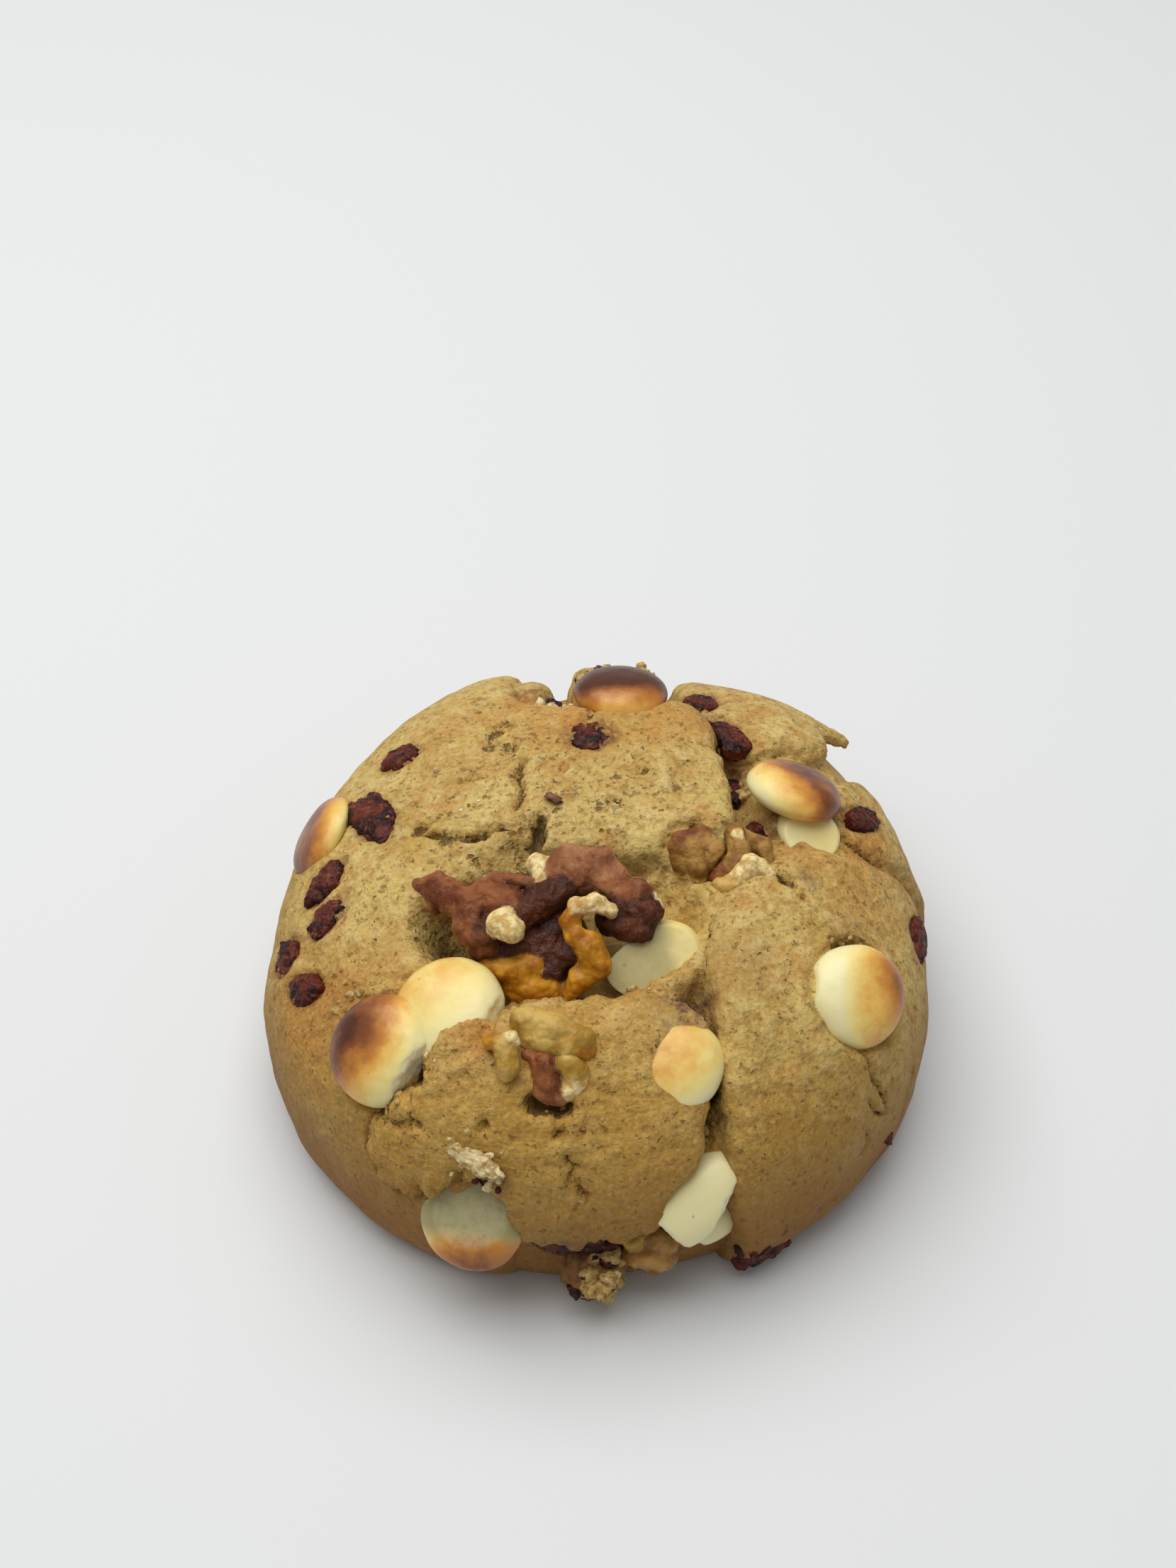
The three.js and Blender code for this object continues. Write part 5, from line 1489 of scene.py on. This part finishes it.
# Each kind's piece, material and slot.
KINDS = {
    "crumb": ("loose_crumbs", bit_finish("loose_crumb", (150, 116, 60), (204, 174, 108), 0.8), "crumb"),
    "pale": ("pale_crumbs", bit_finish("pale_crumb", (188, 162, 108), (232, 214, 164), 0.7), "crumb"),
    "fruit": ("fruit_bits", fruit_material, "red_fruit"),
}
for kind, (name, material, slot) in KINDS.items():
    vertices, quads, caps, seed = [], [], [], LUMP_SEED
    for _, count, small, large, reach, route in (row for row in BITS if row[0] == kind):
        path = smooth_path(route, False) if len(route) > 1 else np.array(route)
        at = path[rng.integers(0, len(path), count)]
        at = at + reach * rng.normal(size=(count, 2)) * BIT_SPREAD
        nearest = [np.argmin(((flat_places - place) ** 2).sum(1)) for place in at]
        size = small + (large - small) * rng.random(count) ** 2
        halves = size[:, None] * rng.uniform(BIT_LEAST, BIT_MOST, (count, 3))
        turns = random_turns(rng, count)
        middles = dough_points[nearest] + dough_normals[nearest] * (BIT_RISE * size)[:, None]
        for half, turn, middle in zip(halves, turns, middles):
            seed += 1
            shape, (sides, ends) = close_poles(lump(half, seed))
            start = sum(len(v) for v in vertices)
            solid = middle + shape @ turn
            vertices.append(solid - [0, 0, min(solid[:, 2].min(), 0)])
            quads.append(sides + start)
            caps.append(ends + start)
    bits = add_piece(name, np.vstack(vertices), [np.concatenate(quads), np.concatenate(caps)])
    bits.data.materials.append(material)

# Thin ragged flakes of crust that stand up: where, height over the mound, turn and half sizes.
FLAKES = [
    ((-14.9, -44), 2.9, -38, (4.2, 1.3, 0.55)),
    ((-13, -45.2), 2.6, -70, (2, 0.9, 0.5)),
]
FLAKE_LEAN = (0, 0.3, 0)
FLAKE_ROWS, FLAKE_COLUMNS = 40, 72
FLAKE_SEED = 1200
vertices, quads = [], []
for seed, (at, rise, turn, half) in enumerate(FLAKES, FLAKE_SEED):
    place, axes = stand(at, rise, FLAKE_LEAN, turn)
    shape, faces = close_poles(shard(half, seed, FLAKE_ROWS, FLAKE_COLUMNS))
    quads += [part + sum(len(v) for v in vertices) for part in faces]
    vertices.append(place + shape @ axes)
flakes = add_piece("crust_flakes", np.vstack(vertices), quads)
flakes.data.materials.append(bit_finish("crust_flake", (170, 136, 80), (226, 206, 156), 0.75))

# The plate at the back right ends in a thin tip of crust.
TIP = dict(at=(32.6, 29.4), lift=0.3, lean=(0, 0, 0.3), turn=15, half=(5, 2.4, 0.9), seed=1210)
place, axes = stand(TIP["at"], TIP["lift"], TIP["lean"], TIP["turn"])
vertices, faces = close_poles(shard(TIP["half"], TIP["seed"], FLAKE_ROWS, FLAKE_COLUMNS))
tip = add_piece("crust_tip", place + vertices @ axes, faces)
tip.data.materials.append(dough.data.materials[0])

# One brown seed lies on the crown.
BROWN_SEED = dict(at=(-5.6, 4.6), lift=0.9, turn=-25, half=(1.25, 0.6, 0.45), seed=1300)
place, axes = stand(BROWN_SEED["at"], BROWN_SEED["lift"], turn=BROWN_SEED["turn"])
vertices, faces = close_poles(lump(np.array(BROWN_SEED["half"]), BROWN_SEED["seed"]))
brown_seed = add_piece("brown_seed", place + vertices @ axes, faces)
brown_seed.data.materials.append(bit_finish("brown_seed", (96, 58, 38), (134, 92, 66), 0.6))

# ---- Table, light and camera ----
# A plain pale surface under soft light from above and a little behind, seen from the photograph's
# angle. Sizes and places here are in metres.

FLOOR_SIZE = 4
WINDOW = dict(place=(-0.14, 0.16, 0.8), aim=(0, 0, 0), size=0.9, power=7.6)
ROOM_COLOUR, ROOM_LIGHT = (0.95, 0.97, 1, 1), 0.29
CAMERA_PLACE = (-0.0017, -0.1748, 0.2370)
CAMERA_TILT = 42.92  # degrees from straight down
CAMERA_LENS = 47.2  # millimetres, for a picture 36 mm high
CAMERA_SENSOR = 36

bpy.ops.mesh.primitive_plane_add(size=FLOOR_SIZE)
floor = bpy.context.object
floor.name = "pale_floor"
floor_material, _, shader, _ = new_material("pale_floor", Roughness=0.7)
shader.inputs["Base Color"].default_value = colour(224, 225, 224)
floor.data.materials.append(floor_material)


def area_light(name, place, aim, size, power):
    """A square soft light that faces its aim."""
    light = bpy.data.lights.new(name, "AREA")
    light.energy = power
    light.size = size
    lamp = bpy.data.objects.new(name, light)
    place, aim = np.array(place), np.array(aim)
    back = (place - aim) / np.linalg.norm(place - aim)
    side = np.cross([0, 1, 0], back)
    side /= np.linalg.norm(side)
    turn = np.stack([side, np.cross(back, side), back], 1)
    lamp.matrix_world = Matrix.Translation(place) @ Matrix(turn).to_4x4()
    bpy.context.scene.collection.objects.link(lamp)


area_light("window", **WINDOW)
world = bpy.data.worlds.new("room")
world.use_nodes = True
background = world.node_tree.nodes["Background"]
background.inputs["Color"].default_value = ROOM_COLOUR
background.inputs["Strength"].default_value = ROOM_LIGHT
bpy.context.scene.world = world
bpy.context.scene.view_settings.view_transform = "Standard"

camera = bpy.data.objects.new("camera", bpy.data.cameras.new("camera"))
camera.data.sensor_width = CAMERA_SENSOR
camera.data.lens = CAMERA_LENS
camera.location = CAMERA_PLACE
camera.rotation_euler = (np.radians(CAMERA_TILT), 0, 0)
bpy.context.scene.collection.objects.link(camera)
bpy.context.scene.camera = camera
